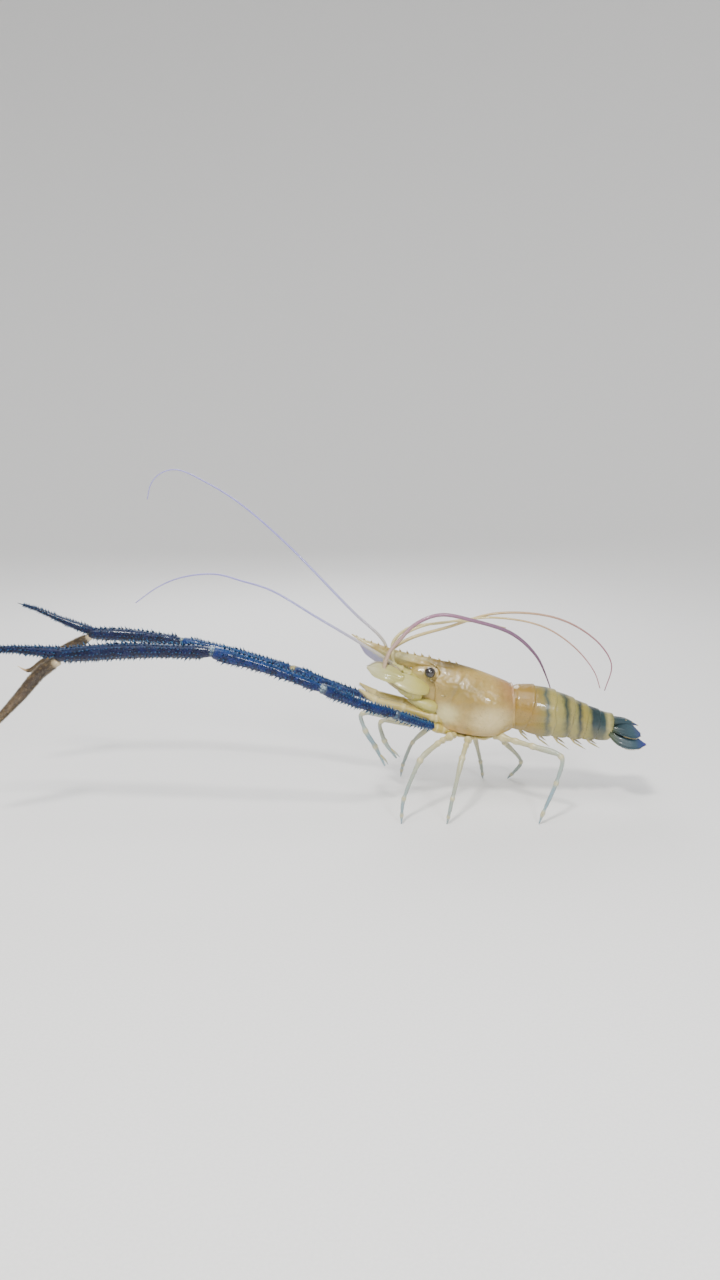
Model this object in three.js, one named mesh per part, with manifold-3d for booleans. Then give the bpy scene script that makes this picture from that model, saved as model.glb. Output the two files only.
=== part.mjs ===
// Giant river prawn, a large blue-claw male, standing on its walking legs.
// Millimetres, +Z up, the floor at z = 0. The head points along -X and the left side faces -Y.

import * as THREE from 'three';
import { mergeVertices } from 'three/addons/utils/BufferGeometryUtils.js';
import Module from 'manifold-3d';

const wasm = await Module();
wasm.setup();

// Driving dimensions. A point is [x, y, z], and a row of sizes is read evenly from first to last.

const GAP = 0.3;
const TUBE_SIDES = 8;

// Head and carapace: the outline seen from the side, front to rear, and the full widths.
const CARAPACE_X = [45, 57, 69, 81, 92.5];
const CARAPACE_TOP = [87.5, 85.6, 82.6, 78.6, 74.2];
const CARAPACE_BOTTOM = [50, 46.5, 44.5, 44.6, 49];
const CARAPACE_WIDTH = [19, 27, 32, 32, 26.5];
const CARAPACE_CREST = 2.2;
const CARAPACE_SIDES = 26;
const CARAPACE_STEPS = 15;

const STERNUM_FRONT = 49;
const STERNUM_REAR = 90;
const STERNUM_HALF_WIDTH = 8.5;
const STERNUM_DEPTH = 4.5;

const HEAD_FRONT = 31;
const HEAD_TOP = [80.5, 82.5];
const HEAD_BOTTOM = [66, 58];
const HEAD_WIDTH = [9, 14];

const ROSTRUM_LINE = [[45, 0, 85.4], [27, 0, 89.4], [10, 0, 95.6], [-5, 0, 104.6]];
const ROSTRUM_HALF_HEIGHT = [3.4, 3.9, 3.2, 0.5];
const ROSTRUM_HALF_WIDTH = [2.6, 1.5, 0.8, 0.4];
const ROSTRUM_TEETH_ABOVE = 9;
const ROSTRUM_TEETH_BELOW = 8;
const TEETH_ABOVE_AT = [0.07, 0.92];
const TEETH_BELOW_AT = [0.36, 0.92];
const CREST_TEETH = 4;
const CREST_TEETH_AT = [0.03, 0.33];
const TOOTH_LENGTH = 2.1;
const TOOTH_RADIUS = 0.75;
const TOOTH_TAPER = 0.4;
const CREST_TOOTH_LENGTH = 1.5;
const CHEEK_SPINES = [[0.015, 1.15], [0.13, 1.5]];
const CHEEK_SPINE_LENGTH = 2.6;

const EYE_AT = [41.6, 9.4, 83];
const EYE_RADIUS = 3.4;
const EYESTALK_FROM = [41, 3.6, 78.6];
const EYESTALK_RADII = [2.2, 1.9, 2.3];

// Abdomen: the middle line seen from the side, with the half depth and half width along it.
const ABDOMEN_LINE = [[92.8, 0, 60.2], [106, 0, 58], [120, 0, 54.4], [134, 0, 50.6], [146, 0, 48],
  [153, 0, 47]];
const ABDOMEN_HALF_DEPTH = [13.6, 14.4, 13.9, 12, 9.8, 7.9];
const ABDOMEN_HALF_WIDTH = [13, 13.6, 13, 11, 8.8, 6.8];
const ABDOMEN_SPLITS = [0, 0.14, 0.34, 0.54, 0.69, 0.82, 1];
const SPLIT_SWEEP = [0, -0.05, 0.05, 0.035, 0.03, 0.02, 0];
const PLATE_FLARE = 0.055;

const TELSON_LINE = [[153.6, 0, 50], [162, 0, 50], [169.5, 0, 47.8]];
const TELSON_HALF_WIDTH = [4.6, 3.6, 1];
const TELSON_HALF_DEPTH = [2.9, 2.1, 0.6];

const UROPOD_INNER = [[153.4, 4.6, 47], [159, 7.6, 47.2], [164.5, 8.6, 46.2], [169.5, 8.4, 44.4]];
const UROPOD_OUTER = [[152.6, 6.4, 43.8], [158.5, 11.6, 42.2], [164.5, 13.8, 41], [171.5, 13.6, 39.8]];
const UROPOD_HALF_WIDTH = { inner: [1.3, 4.2, 5.2, 1.5], outer: [1.3, 4.6, 4.6, 0.8] };
const UROPOD_FACES = { inner: [0, 0.45, 0.89], outer: [0, 0.68, 0.73] };
const UROPOD_HALF_THICKNESS = [1, 0.6, 0.45, 0.3];

// Feelers: each runs from its base to its tip, on the left unless named.
const ANTENNULE_PEDUNCLE = [[33, 3.4, 77.4], [27, 3.8, 82.4], [19, 4.2, 87.8]];
const ANTENNULE_RADII = [2.3, 1.9, 1.4];
const ANTENNA_BASE = [[36, 6.2, 69.5], [30, 8.4, 70.5], [23, 9, 73.4]];
const ANTENNA_BASE_RADII = [4, 3.9, 2.2];
const SCALE_LEFT = [[26, -10.2, 79.6], [16, -11.4, 83.6], [4, -11, 87]];
const SCALE_RIGHT = [[26, 10.2, 79.8], [14, 11, 87.4], [0, 10.6, 96.4]];
const SCALE_FACES = { left: [0, -0.8, 0.6], right: [0, 0.8, 0.6] };
const SCALE_HALF_WIDTH = [2.6, 5.2, 4.9, 1];
const SCALE_HALF_THICKNESS = [1.2, 0.7, 0.5, 0.35];

const FORE_LEFT = [[18.4, -4.6, 88.6], [-1.2, -7, 101.5], [-25.3, -9, 116.5], [-52, -11, 133],
  [-68.3, -12, 138.5], [-84, -13, 142.7], [-102.7, -14, 141], [-116.4, -14, 135.6], [-130.3, -14, 126.1]];
const FORE_RIGHT = [[18.4, 4.6, 88.8], [14, 6, 99.5], [-4, 8, 116.6], [-44.7, 10, 158.4], [-71.5, 12, 181.5],
  [-90.1, 13, 193.2], [-108.9, 14, 201.3], [-118.6, 14, 199], [-124.2, 14, 193.2], [-127, 14, 183.8]];
const BACK_LEFT = [[19.6, -3.6, 90.4], [20.5, -3.4, 98.4], [28, -3.2, 106], [42, -2.4, 111.2],
  [58, -1, 112.6], [74, 1.5, 111.4], [88, 4, 107.6]];
const BACK_RIGHT = [[19.6, 3.6, 90.6], [20, 5, 98.5], [29, 8, 106.4], [50, 10, 109.6], [82, 12, 112.4],
  [112, 13, 106.6], [132, 13, 93.6], [145, 13, 78], [149, 13, 67.6]];
const ANTENNA_LEFT = [[21.6, -9.2, 74.6], [14.5, -9.6, 82], [17, -9, 94.5], [24.5, -8.5, 104],
  [33, -8, 112.4], [47, -7, 117.6], [68, -4, 113.4], [92, 3, 104], [108, 10, 89], [117, 17, 72],
  [120, 18.4, 64]];
const ANTENNA_RIGHT = [[21.6, 9.2, 74.8], [15, 9.6, 83], [19, 9.6, 92.5], [30, 10, 99.6], [54, 12, 106.6],
  [82, 14, 114.5], [114, 16, 113], [134, 17, 105.6], [150, 17, 93], [156.5, 17, 81], [153, 17, 65]];
const FEELER_RADII = [1, 0.75, 0.55, 0.4, 0.28];
const ANTENNA_RADII = { left: [1.3, 1.05, 1.1, 1, 0.4], right: [1.3, 0.95, 0.7, 0.5, 0.3] };

// Mouth legs, small clawed legs and walking legs, on the left.
const MAXILLIPED = [[44, 7, 55], [26, 8, 61], [9, 8, 66.4], [-0.5, 7.4, 72.6]];
const MAXILLIPED_RADII = [2.6, 2.1, 1.9, 0.7];
const FIRST_LEG = [[48, 7, 47.4], [24, 15, 56], [0, 15.5, 60.6], [3, 15.5, 49], [9, 15.5, 39.5],
  [15, 15.5, 27]];
const FIRST_LEG_RADII = [2.3, 1.7, 1.6, 1.2, 1.5, 0.7];
const FIRST_LEG_RIGHT = [[48, 7, 46.4], [31, 10, 45.4], [12, 11, 47.6], [15, 11.5, 34], [23, 11.5, 22.5]];
const SMALL_CLAW_OPEN = 2;
const SMALL_CLAW_RADII = [0.8, 0.8, 0.35];
const JOINT_ROUNDING = 0.14;
const LEG_RADII = [2.7, 1.8, 1.7, 1.9, 1.35, 1.3, 1.2, 0.8];
const LEGS = {
  walking_leg_3_left: [[57, -8, 44.5], [46, -21, 43], [35, -31, 36.6], [25, -37.5, 14], [24, -39.5, 0]],
  walking_leg_4_left: [[66, -8, 43], [60, -28, 37], [53.5, -38, 14], [50.5, -40, 0]],
  walking_leg_5_left: [[81, -8, 44], [102, -24, 42], [118, -33, 39], [114, -36.5, 24], [106, -39.5, 6],
    [104, -40, 0]],
  walking_leg_3_right: [[57, 8, 44.5], [46, 24, 40], [34, 34, 26], [28, 39, 8], [27, 40, 0]],
  walking_leg_4_right: [[68, 8, 43], [73, 24, 34], [79, 34, 12], [81, 36, 0]],
  walking_leg_5_right: [[80, 8, 44], [92, 22, 30], [106, 32, 13], [97, 36, 0]],
};

// Great claws: the joints of each arm from the body to the finger tips.
const ARM_LEFT = {
  side: 'left',
  joints: [[45, -8, 49], [21, -24, 61.5], [-20.4, -52, 84.5], [-79.6, -60, 107.2], [-168, -48, 102.4]],
  fixed: [[-180, -47, 105], [-199, -46, 105.4], [-228, -45, 99.5]],
  dactylus: [[-166, -48, 99.5], [-176, -48, 93.5], [-189, -48, 79.5], [-203, -47, 65], [-212, -46.5, 56],
    [-217, -46, 56]],
  girth: 1,
};
const ARM_RIGHT = {
  side: 'right',
  joints: [[45, 8, 47.4], [18, 16, 57.5], [-42.3, 30, 75.6], [-113.7, 36, 92.4], [-172, 30, 99]],
  fixed: [[-185, 29.5, 106.6], [-202, 29, 114.4], [-214.5, 29, 118.6]],
  dactylus: [[-170, 30, 97], [-179, 30, 92.5], [-190, 30, 87], [-201, 29.6, 80.5], [-211, 29, 75],
    [-217.5, 29, 78]],
  girth: 0.9,
};
const ARM_SEGMENTS = ['ischium', 'merus', 'carpus', 'palm'];
const ARM_RADII = {
  ischium: [2.3, 2.5, 2.6, 2.7],
  merus: [2.4, 2.6, 2.8, 3.2],
  carpus: [2.5, 2.9, 3.3, 3.9],
  palm: [3.4, 4.1, 4.3, 3.8],
};
const ARM_BOW = 0.04;
const JOINT_GAP = 0.9;
const ARM_SPINES = {
  ischium: { rows: 2, count: 2, turn: 0.6 },
  merus: { rows: 4, count: 5, turn: 0.4 },
  carpus: { rows: 4, count: 5, turn: 0.2 },
  palm: { rows: 4, count: 8, turn: 0.3, to: 0.88 },
};
const FINGER_SPINES = { rows: 2, count: 4, from: 0.25, to: 0.8, turn: 1.2 };
const SPINE_LENGTH = 1.2;
const SPINE_RADIUS = 0.55;
const SPINE_SUNK = 0.8;
const SPINE_SIDES = 4;
const SPINE_LEAN = 0.62;
const FINGER_RADII = [3, 2.6, 2, 1.5, 0.5];
const DACTYLUS_RADII = [2.8, 3.4, 3.1, 2.2, 0.5];

// Swimming legs under the abdomen: how far along it each pair sits and how long it is.
const SWIMMERET_AT = [0.08, 0.26, 0.45, 0.62, 0.77];
const SWIMMERET_LENGTH = [13, 14.5, 14, 12.5, 10.5];
const SWIMMERET_SWEEP = [0.55, 0.65, 0.72, 0.8, 0.85];
const SWIMMERET_HALF_WIDTH = [1.3, 2.6, 1.8, 0.6];
const SWIMMERET_HALF_THICKNESS = [1.4, 0.8, 0.6, 0.35];

// Reads a row of sizes, evenly spaced from 0 to 1, as one smooth line.
function smooth(sizes) {
  const last = sizes.length - 1;
  return (t) => {
    const s = THREE.MathUtils.clamp(t, 0, 1) * last;
    const i = Math.min(Math.floor(s), last - 1);
    const f = s - i;
    const a = sizes[Math.max(i - 1, 0)];
    const b = sizes[i];
    const c = sizes[i + 1];
    const d = sizes[Math.min(i + 2, last)];
    const bend = (2 * a - 5 * b + 4 * c - d) * f * f + (3 * b - a - 3 * c + d) * f * f * f;
    return 0.5 * (2 * b + (c - a) * f + bend);
  };
}

const point = ([x, y, z]) => new THREE.Vector3(x, y, z);

// The place of one of several things spread evenly from one place to another.
const spread = ([from, to], i, count) => THREE.MathUtils.lerp(from, to, i / (count - 1));
const mirrored = (points) => points.map(([x, y, z]) => [x, -y, z]);

// Merges a geometry's vertices, drops flat triangles, turns the faces outward and makes it solid.
function solid(geometry) {
  const bare = geometry.clone();
  bare.deleteAttribute('normal');
  bare.deleteAttribute('uv');
  const merged = mergeVertices(bare, 1e-4);
  const at = merged.attributes.position;
  const index = merged.index.array;
  const triangles = [];
  for (let i = 0; i < index.length; i += 3) {
    const [a, b, c] = [index[i], index[i + 1], index[i + 2]];
    if (a !== b && b !== c && c !== a) triangles.push(a, b, c);
  }
  let volume = 0;
  const [p, q, r] = [new THREE.Vector3(), new THREE.Vector3(), new THREE.Vector3()];
  for (let i = 0; i < triangles.length; i += 3) {
    p.fromBufferAttribute(at, triangles[i]);
    q.fromBufferAttribute(at, triangles[i + 1]);
    r.fromBufferAttribute(at, triangles[i + 2]);
    volume += p.dot(q.cross(r));
  }
  if (volume < 0) triangles.reverse();
  return new wasm.Manifold(new wasm.Mesh({
    numProp: 3,
    vertProperties: Float32Array.from(at.array),
    triVerts: Uint32Array.from(triangles),
  }));
}

// Keeps the largest closed surface of a solid.
function largest(shape) {
  const pieces = shape.decompose();
  return pieces.reduce((best, piece) => (piece.volume() > best.volume() ? piece : best));
}

// A closed form of unit length and radius, turned on a lathe, whose points a function then places.
function turned(sides, steps, place) {
  const profile = [new THREE.Vector2(0, 0)];
  for (let i = 0; i <= steps; i++) profile.push(new THREE.Vector2(1, i / steps));
  profile.push(new THREE.Vector2(0, 1));
  const form = new THREE.LatheGeometry(profile, sides);
  const at = form.attributes.position;
  for (let i = 0; i < at.count; i++) {
    const reach = Math.hypot(at.getX(i), at.getZ(i));
    const angle = Math.atan2(at.getX(i), at.getZ(i));
    const p = place(at.getY(i), angle, reach < 1e-6 ? 0 : 1);
    at.setXYZ(i, p.x, p.y, p.z);
  }
  return solid(form);
}

// The surface of a tapered limb along a smooth line: a point from the place along it, the angle round it
// and the reach. Angle 0 points up, or along the vector given.
function limbSurface(points, radii, { depths = radii, up = [0, 0, 1] } = {}) {
  const line = new THREE.CatmullRomCurve3(points.map(point), false, 'centripetal');
  const [width, depth] = [smooth(radii), smooth(depths)];
  const upward = point(up);
  return (t, angle, reach, grow = 0) => {
    const along = line.getTangentAt(t);
    const side = new THREE.Vector3().crossVectors(along, upward).normalize();
    const lift = new THREE.Vector3().crossVectors(side, along);
    const end = t === 0 ? -grow : (t === 1 ? grow : 0);
    return line.getPointAt(t)
      .addScaledVector(along, end)
      .addScaledVector(side, reach * (width(t) + grow) * Math.sin(angle))
      .addScaledVector(lift, reach * (depth(t) + grow) * Math.cos(angle));
  };
}

function limb(points, radii, { sides = TUBE_SIDES, steps = 12, grow = 0, ...shape } = {}) {
  const surface = limbSurface(points, radii, shape);
  return turned(sides, steps, (t, angle, reach) => surface(t, angle, reach, grow));
}

// A spine of few sides that stands on a surface point, leans along a direction and has its root sunk.
function spine(root, direction, length, radius, grow = 0) {
  const cone = new THREE.ConeGeometry(radius + grow, length + SPINE_SUNK + grow, SPINE_SIDES, 1);
  cone.translate(0, (length + grow - SPINE_SUNK) / 2, 0);
  cone.applyQuaternion(new THREE.Quaternion().setFromUnitVectors(new THREE.Vector3(0, 1, 0), direction));
  cone.translate(root.x, root.y, root.z);
  return solid(cone);
}

// Spines on a limb's surface at one place: they lean from straight out towards its tip.
function limbSpine(surface, t, angle, length, radius, grow = 0) {
  const root = surface(t, angle, 1);
  const outward = root.clone().sub(surface(t, angle, 0)).normalize();
  const forward = surface(Math.min(t + 0.02, 1), angle, 1).sub(surface(Math.max(t - 0.02, 0), angle, 1));
  const direction = outward.multiplyScalar(1 - SPINE_LEAN).addScaledVector(forward.normalize(), SPINE_LEAN);
  return spine(root, direction.normalize(), length, radius, grow);
}

// Rows of spines along a limb, the rows staggered.
function spineRows(surface, { rows, count, from = 0.06, to = 0.94, turn = 0 }, grow = 0) {
  const spines = [];
  for (let row = 0; row < rows; row++) {
    const angle = turn + (2 * Math.PI * row) / rows;
    for (let i = 0; i < count; i++) {
      const t = THREE.MathUtils.lerp(from, to, (i + 0.5 * (row % 2)) / (count - 0.5));
      spines.push(limbSpine(surface, t, angle, SPINE_LENGTH, SPINE_RADIUS, grow));
    }
  }
  return spines;
}

const joined = (pieces) => wasm.Manifold.union(pieces);

const carapaceTop = smooth(CARAPACE_TOP);
const carapaceBottom = smooth(CARAPACE_BOTTOM);
const carapaceWidth = smooth(CARAPACE_WIDTH);
const carapaceX = smooth(CARAPACE_X);

// The surface of the shell over the head and chest, with a low crest along its front half.
function carapacePoint(t, angle, reach, grow = 0) {
  const [top, bottom] = [carapaceTop(t) + grow, carapaceBottom(t) - grow];
  const high = Math.cos(angle);
  const wide = Math.sin(angle);
  const narrowing = 1 - 0.2 * Math.max(high, 0) ** 1.5 - 0.12 * Math.max(-high, 0);
  const half = (carapaceWidth(t) / 2 + grow) * narrowing * Math.sign(wide) * Math.abs(wide) ** 0.86;
  const crest = CARAPACE_CREST * (1 - t) * Math.exp(-((angle / 0.3) ** 2));
  const flat = Math.sign(high) * Math.abs(high) ** 0.92;
  const end = t === 0 ? -grow : (t === 1 ? grow : 0);
  return new THREE.Vector3(
    carapaceX(t) + end + (1 - high) * 0.6 * (t - 0.4),
    reach * half,
    (top + bottom) / 2 + reach * (flat * (top - bottom) / 2 + crest),
  );
}

// The shell with the teeth of its crest and two short spines on each cheek.
function carapace(grow = 0) {
  const shell = turned(CARAPACE_SIDES, CARAPACE_STEPS, (t, a, reach) => carapacePoint(t, a, reach, grow));
  const pieces = [shell];
  const forward = new THREE.Vector3(-0.8, 0, 0.6);
  for (let i = 0; i < CREST_TEETH; i++) {
    const root = carapacePoint(spread(CREST_TEETH_AT, i, CREST_TEETH), 0, 1);
    pieces.push(spine(root, forward, CREST_TOOTH_LENGTH, TOOTH_RADIUS, grow));
  }
  for (const [t, angle] of CHEEK_SPINES) {
    for (const sign of [-1, 1]) {
      const root = carapacePoint(t, sign * angle, 1);
      const direction = new THREE.Vector3(-0.93, 0.32 * sign, 0.16).normalize();
      pieces.push(spine(root, direction, CHEEK_SPINE_LENGTH, TOOTH_RADIUS, grow));
    }
  }
  return joined(pieces);
}

// A tooth of the rostrum, smaller towards its tip.
function rostrumTooth(surface, t, angle, grow) {
  const size = 1 - TOOTH_TAPER * t;
  return limbSpine(surface, t, angle, TOOTH_LENGTH * size, TOOTH_RADIUS * size, grow);
}

// The toothed blade over the eyes.
function rostrum(grow = 0) {
  const shape = { depths: ROSTRUM_HALF_HEIGHT };
  const surface = limbSurface(ROSTRUM_LINE, ROSTRUM_HALF_WIDTH, shape);
  const pieces = [limb(ROSTRUM_LINE, ROSTRUM_HALF_WIDTH, { ...shape, sides: 8, steps: 12, grow })];
  for (let i = 0; i < ROSTRUM_TEETH_ABOVE; i++) {
    pieces.push(rostrumTooth(surface, spread(TEETH_ABOVE_AT, i, ROSTRUM_TEETH_ABOVE), 0, grow));
  }
  for (let i = 0; i < ROSTRUM_TEETH_BELOW; i++) {
    pieces.push(rostrumTooth(surface, spread(TEETH_BELOW_AT, i, ROSTRUM_TEETH_BELOW), Math.PI, grow));
  }
  return joined(pieces);
}

// The underside of the chest, a shallow keel that carries the legs.
function sternum(grow = 0) {
  return turned(12, 8, (t, angle, reach) => {
    const x = THREE.MathUtils.lerp(STERNUM_FRONT - grow, STERNUM_REAR + grow, t);
    const share = THREE.MathUtils.clamp((x - CARAPACE_X[0]) / (CARAPACE_X[4] - CARAPACE_X[0]), 0, 1);
    const half = (STERNUM_HALF_WIDTH + grow) * (0.75 + 0.25 * Math.sin(Math.PI * t));
    const low = STERNUM_DEPTH * (0.6 + 0.4 * Math.sin(Math.PI * t)) + 2 * grow;
    const side = reach * half * Math.sin(angle);
    const up = reach * Math.cos(angle);
    return new THREE.Vector3(x, side, carapaceBottom(share) - GAP - 0.4 + grow + (up - 1) * low / 2);
  });
}

// The block in front of the carapace that carries the eyes, both pairs of feelers and the mouth.
function headBlock(grow = 0) {
  const [top, bottom, width] = [smooth(HEAD_TOP), smooth(HEAD_BOTTOM), smooth(HEAD_WIDTH)];
  return turned(14, 5, (t, angle, reach) => {
    const end = t === 0 ? -grow : 0;
    const x = THREE.MathUtils.lerp(HEAD_FRONT, CARAPACE_X[0] + 1, t) + end;
    const middle = (top(t) + bottom(t)) / 2;
    const half = (top(t) - bottom(t)) / 2 + grow;
    return new THREE.Vector3(
      x,
      reach * (width(t) / 2 + grow) * Math.sin(angle),
      middle + reach * half * Math.cos(angle),
    );
  });
}

function eyeSolid([x, y, z], grow = 0) {
  const ball = new THREE.SphereGeometry(EYE_RADIUS + grow, 12, 8);
  ball.translate(x, y, z);
  return solid(ball);
}

const abdomenLine = new THREE.CatmullRomCurve3(ABDOMEN_LINE.map(point), false, 'centripetal');
const abdomenDepth = smooth(ABDOMEN_HALF_DEPTH);
const abdomenWidth = smooth(ABDOMEN_HALF_WIDTH);

// A point of the abdomen's surface: how far along it, the angle round it from the back, and the reach.
function abdomenPoint(along, angle, reach, flare = 0) {
  const s = THREE.MathUtils.clamp(along, 0, 1);
  const tangent = abdomenLine.getTangentAt(s);
  const lift = new THREE.Vector3(-tangent.z, 0, tangent.x);
  const high = Math.cos(angle);
  const wide = Math.sin(angle);
  const flap = high < 0 ? 1 - 0.1 * high * high : 1;
  const grow = 1 + flare;
  const across = abdomenWidth(s) * flap * Math.sign(wide) * Math.abs(wide) ** 0.9;
  return abdomenLine.getPointAt(s)
    .addScaledVector(tangent, (along - s) * abdomenLine.getLength())
    .addScaledVector(new THREE.Vector3(0, 1, 0), reach * grow * across)
    .addScaledVector(lift, reach * grow * abdomenDepth(s) * high);
}

// One ring of the abdomen. Its edges sweep along the side plates, and it flares towards its rear edge.
function abdomenRing(number, grow = 0) {
  const length = abdomenLine.getLength();
  const [start, end] = [ABDOMEN_SPLITS[number - 1], ABDOMEN_SPLITS[number]];
  const [sweepStart, sweepEnd] = [SPLIT_SWEEP[number - 1], SPLIT_SWEEP[number]];
  const play = (GAP / 2 - grow) / length;
  return turned(20, 5, (t, angle, reach) => {
    const low = reach * ((1 - Math.cos(angle)) / 2) ** 2;
    const from = start + sweepStart * low + play;
    const to = end + sweepEnd * low - play;
    const flare = PLATE_FLARE * (t - 0.45) + grow / 12;
    return abdomenPoint(THREE.MathUtils.lerp(from, to, t), angle, reach, flare);
  });
}

// A swimming leg: a stalk and one long leaf, folded back under the abdomen.
function swimmeret(pair, side, grow = 0) {
  const root = abdomenPoint(SWIMMERET_AT[pair], Math.PI - 0.5, 1);
  const length = SWIMMERET_LENGTH[pair];
  const sweep = SWIMMERET_SWEEP[pair];
  const [x, y, z] = [root.x, Math.abs(root.y) * side, root.z + 1.5];
  const points = [
    [x, y, z],
    [x + length * 0.3 * sweep, y * 1.05, z - length * 0.38],
    [x + length * sweep, y * 0.95, z - length * 0.72],
  ];
  return limb(points, SWIMMERET_HALF_WIDTH, { depths: SWIMMERET_HALF_THICKNESS, sides: 6, steps: 5, grow });
}

// Bows the straight length between two joints a little and leaves a gap for the joint at each end.
function segmentLine(from, to, bow) {
  const [a, b] = [point(from), point(to)];
  const along = b.clone().sub(a);
  const length = along.length();
  along.normalize();
  a.addScaledVector(along, JOINT_GAP / 2);
  b.addScaledVector(along, -JOINT_GAP / 2);
  const middle = a.clone().add(b).multiplyScalar(0.5);
  middle.z += bow * length;
  return [a.toArray(), middle.toArray(), b.toArray()];
}

// A length of a great claw's arm with its rows of spines. The palm also carries the fixed finger.
function armSegment(arm, name, grow = 0) {
  const i = ARM_SEGMENTS.indexOf(name);
  const radii = ARM_RADII[name].map((r) => r * arm.girth);
  const line = segmentLine(arm.joints[i], arm.joints[i + 1], ARM_BOW * (i > 1 ? 0.5 : -0.5));
  const tube = limb(line, radii, { sides: 10, steps: 6, grow });
  const pieces = [tube, ...spineRows(limbSurface(line, radii), ARM_SPINES[name], grow)];
  if (name === 'palm') {
    const root = point(arm.joints[4]).lerp(point(arm.joints[3]), 0.08);
    root.z += 1.4;
    const finger = [root.toArray(), ...arm.fixed];
    const fingerRadii = FINGER_RADII.map((r) => r * arm.girth);
    pieces.push(limb(finger, fingerRadii, { sides: 8, steps: 9, grow }));
    pieces.push(...spineRows(limbSurface(finger, fingerRadii), FINGER_SPINES, grow));
  }
  return joined(pieces);
}

// The velvety movable finger.
function dactylus(arm, grow = 0) {
  return limb(arm.dactylus, DACTYLUS_RADII.map((r) => r * arm.girth), { sides: 8, steps: 11, grow });
}

// Keeps a leg straight between its joints: each inner joint becomes two points close to it.
function straightLengths(points) {
  return points.flatMap((p, i) => {
    if (i === 0 || i === points.length - 1) return [p];
    return [points[i - 1], points[i + 1]].map((q) => point(p).lerp(point(q), JOINT_ROUNDING).toArray());
  });
}

// A small clawed leg: its last length splits into two fine fingers.
function firstLeg(points, grow = 0) {
  const leg = limb(straightLengths(points), FIRST_LEG_RADII, { steps: 14, sides: 7, up: [0, 1, 0], grow });
  const [before, tip] = [point(points[points.length - 2]), point(points[points.length - 1])];
  const root = before.clone().lerp(tip, 0.45);
  const bend = [(root.x + tip.x) / 2 + SMALL_CLAW_OPEN, tip.y, (root.z + tip.z) / 2];
  const finger = [root.toArray(), bend, [tip.x + SMALL_CLAW_OPEN, tip.y, tip.z + 0.6]];
  return leg.add(limb(finger, SMALL_CLAW_RADII, { steps: 4, sides: 6, up: [0, 1, 0], grow }));
}

// A leg that stands: the part under the floor line is pressed flat on it.
function standingLeg(points, grow = 0) {
  const leg = limb(straightLengths(points), LEG_RADII, { steps: 15, sides: 7, up: [1, 0, 0], grow });
  const under = new THREE.BoxGeometry(400, 400, 20);
  under.translate(0, 0, -10 - grow);
  return leg.subtract(solid(under));
}

// Colours of the living shell.
const paint = (color, roughness) => new THREE.MeshStandardMaterial({ color, roughness, metalness: 0 });
const PAINTS = {
  shell: paint('#8d8a63', 0.35),
  belly: paint('#c9c3a0', 0.45),
  eye: paint('#2a211c', 0.12),
  feeler: paint('#b9a3b8', 0.4),
  scale: paint('#c4c8c4', 0.35),
  cobalt: paint('#1d3f78', 0.35),
  velvet: paint('#5a4632', 0.85),
  leg: paint('#a9bcc4', 0.35),
  abdomen: paint('#5f7468', 0.35),
  tail: paint('#4f6b86', 0.35),
};

const model = new THREE.Group();
const forms = {};

// Adds a sub-part. Its form is cut back from each neighbour named, which leaves a thin gap.
function add(name, material, form, neighbours = []) {
  forms[name] = form;
  let shape = form(0);
  for (const neighbour of neighbours) shape = shape.subtract(forms[neighbour](GAP));
  const { vertProperties, triVerts } = largest(shape).getMesh();
  const geometry = new THREE.BufferGeometry();
  geometry.setAttribute('position', new THREE.BufferAttribute(Float32Array.from(vertProperties), 3));
  geometry.setIndex([...triVerts]);
  geometry.computeVertexNormals();
  const mesh = new THREE.Mesh(geometry, material);
  mesh.name = name;
  model.add(mesh);
}

add('carapace', PAINTS.shell, carapace);
add('sternum', PAINTS.belly, sternum, ['carapace']);
add('head_block', PAINTS.shell, headBlock, ['carapace']);
add('rostrum', PAINTS.shell, rostrum, ['carapace', 'head_block']);

for (let number = 1; number <= 6; number++) {
  const neighbours = number === 1 ? ['carapace', 'sternum'] : [];
  add(`abdomen_${number}`, PAINTS.abdomen, (grow) => abdomenRing(number, grow), neighbours);
}
add('telson', PAINTS.tail, (grow) => limb(TELSON_LINE, TELSON_HALF_WIDTH, {
  depths: TELSON_HALF_DEPTH, sides: 10, steps: 8, grow,
}), ['abdomen_6']);

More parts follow.
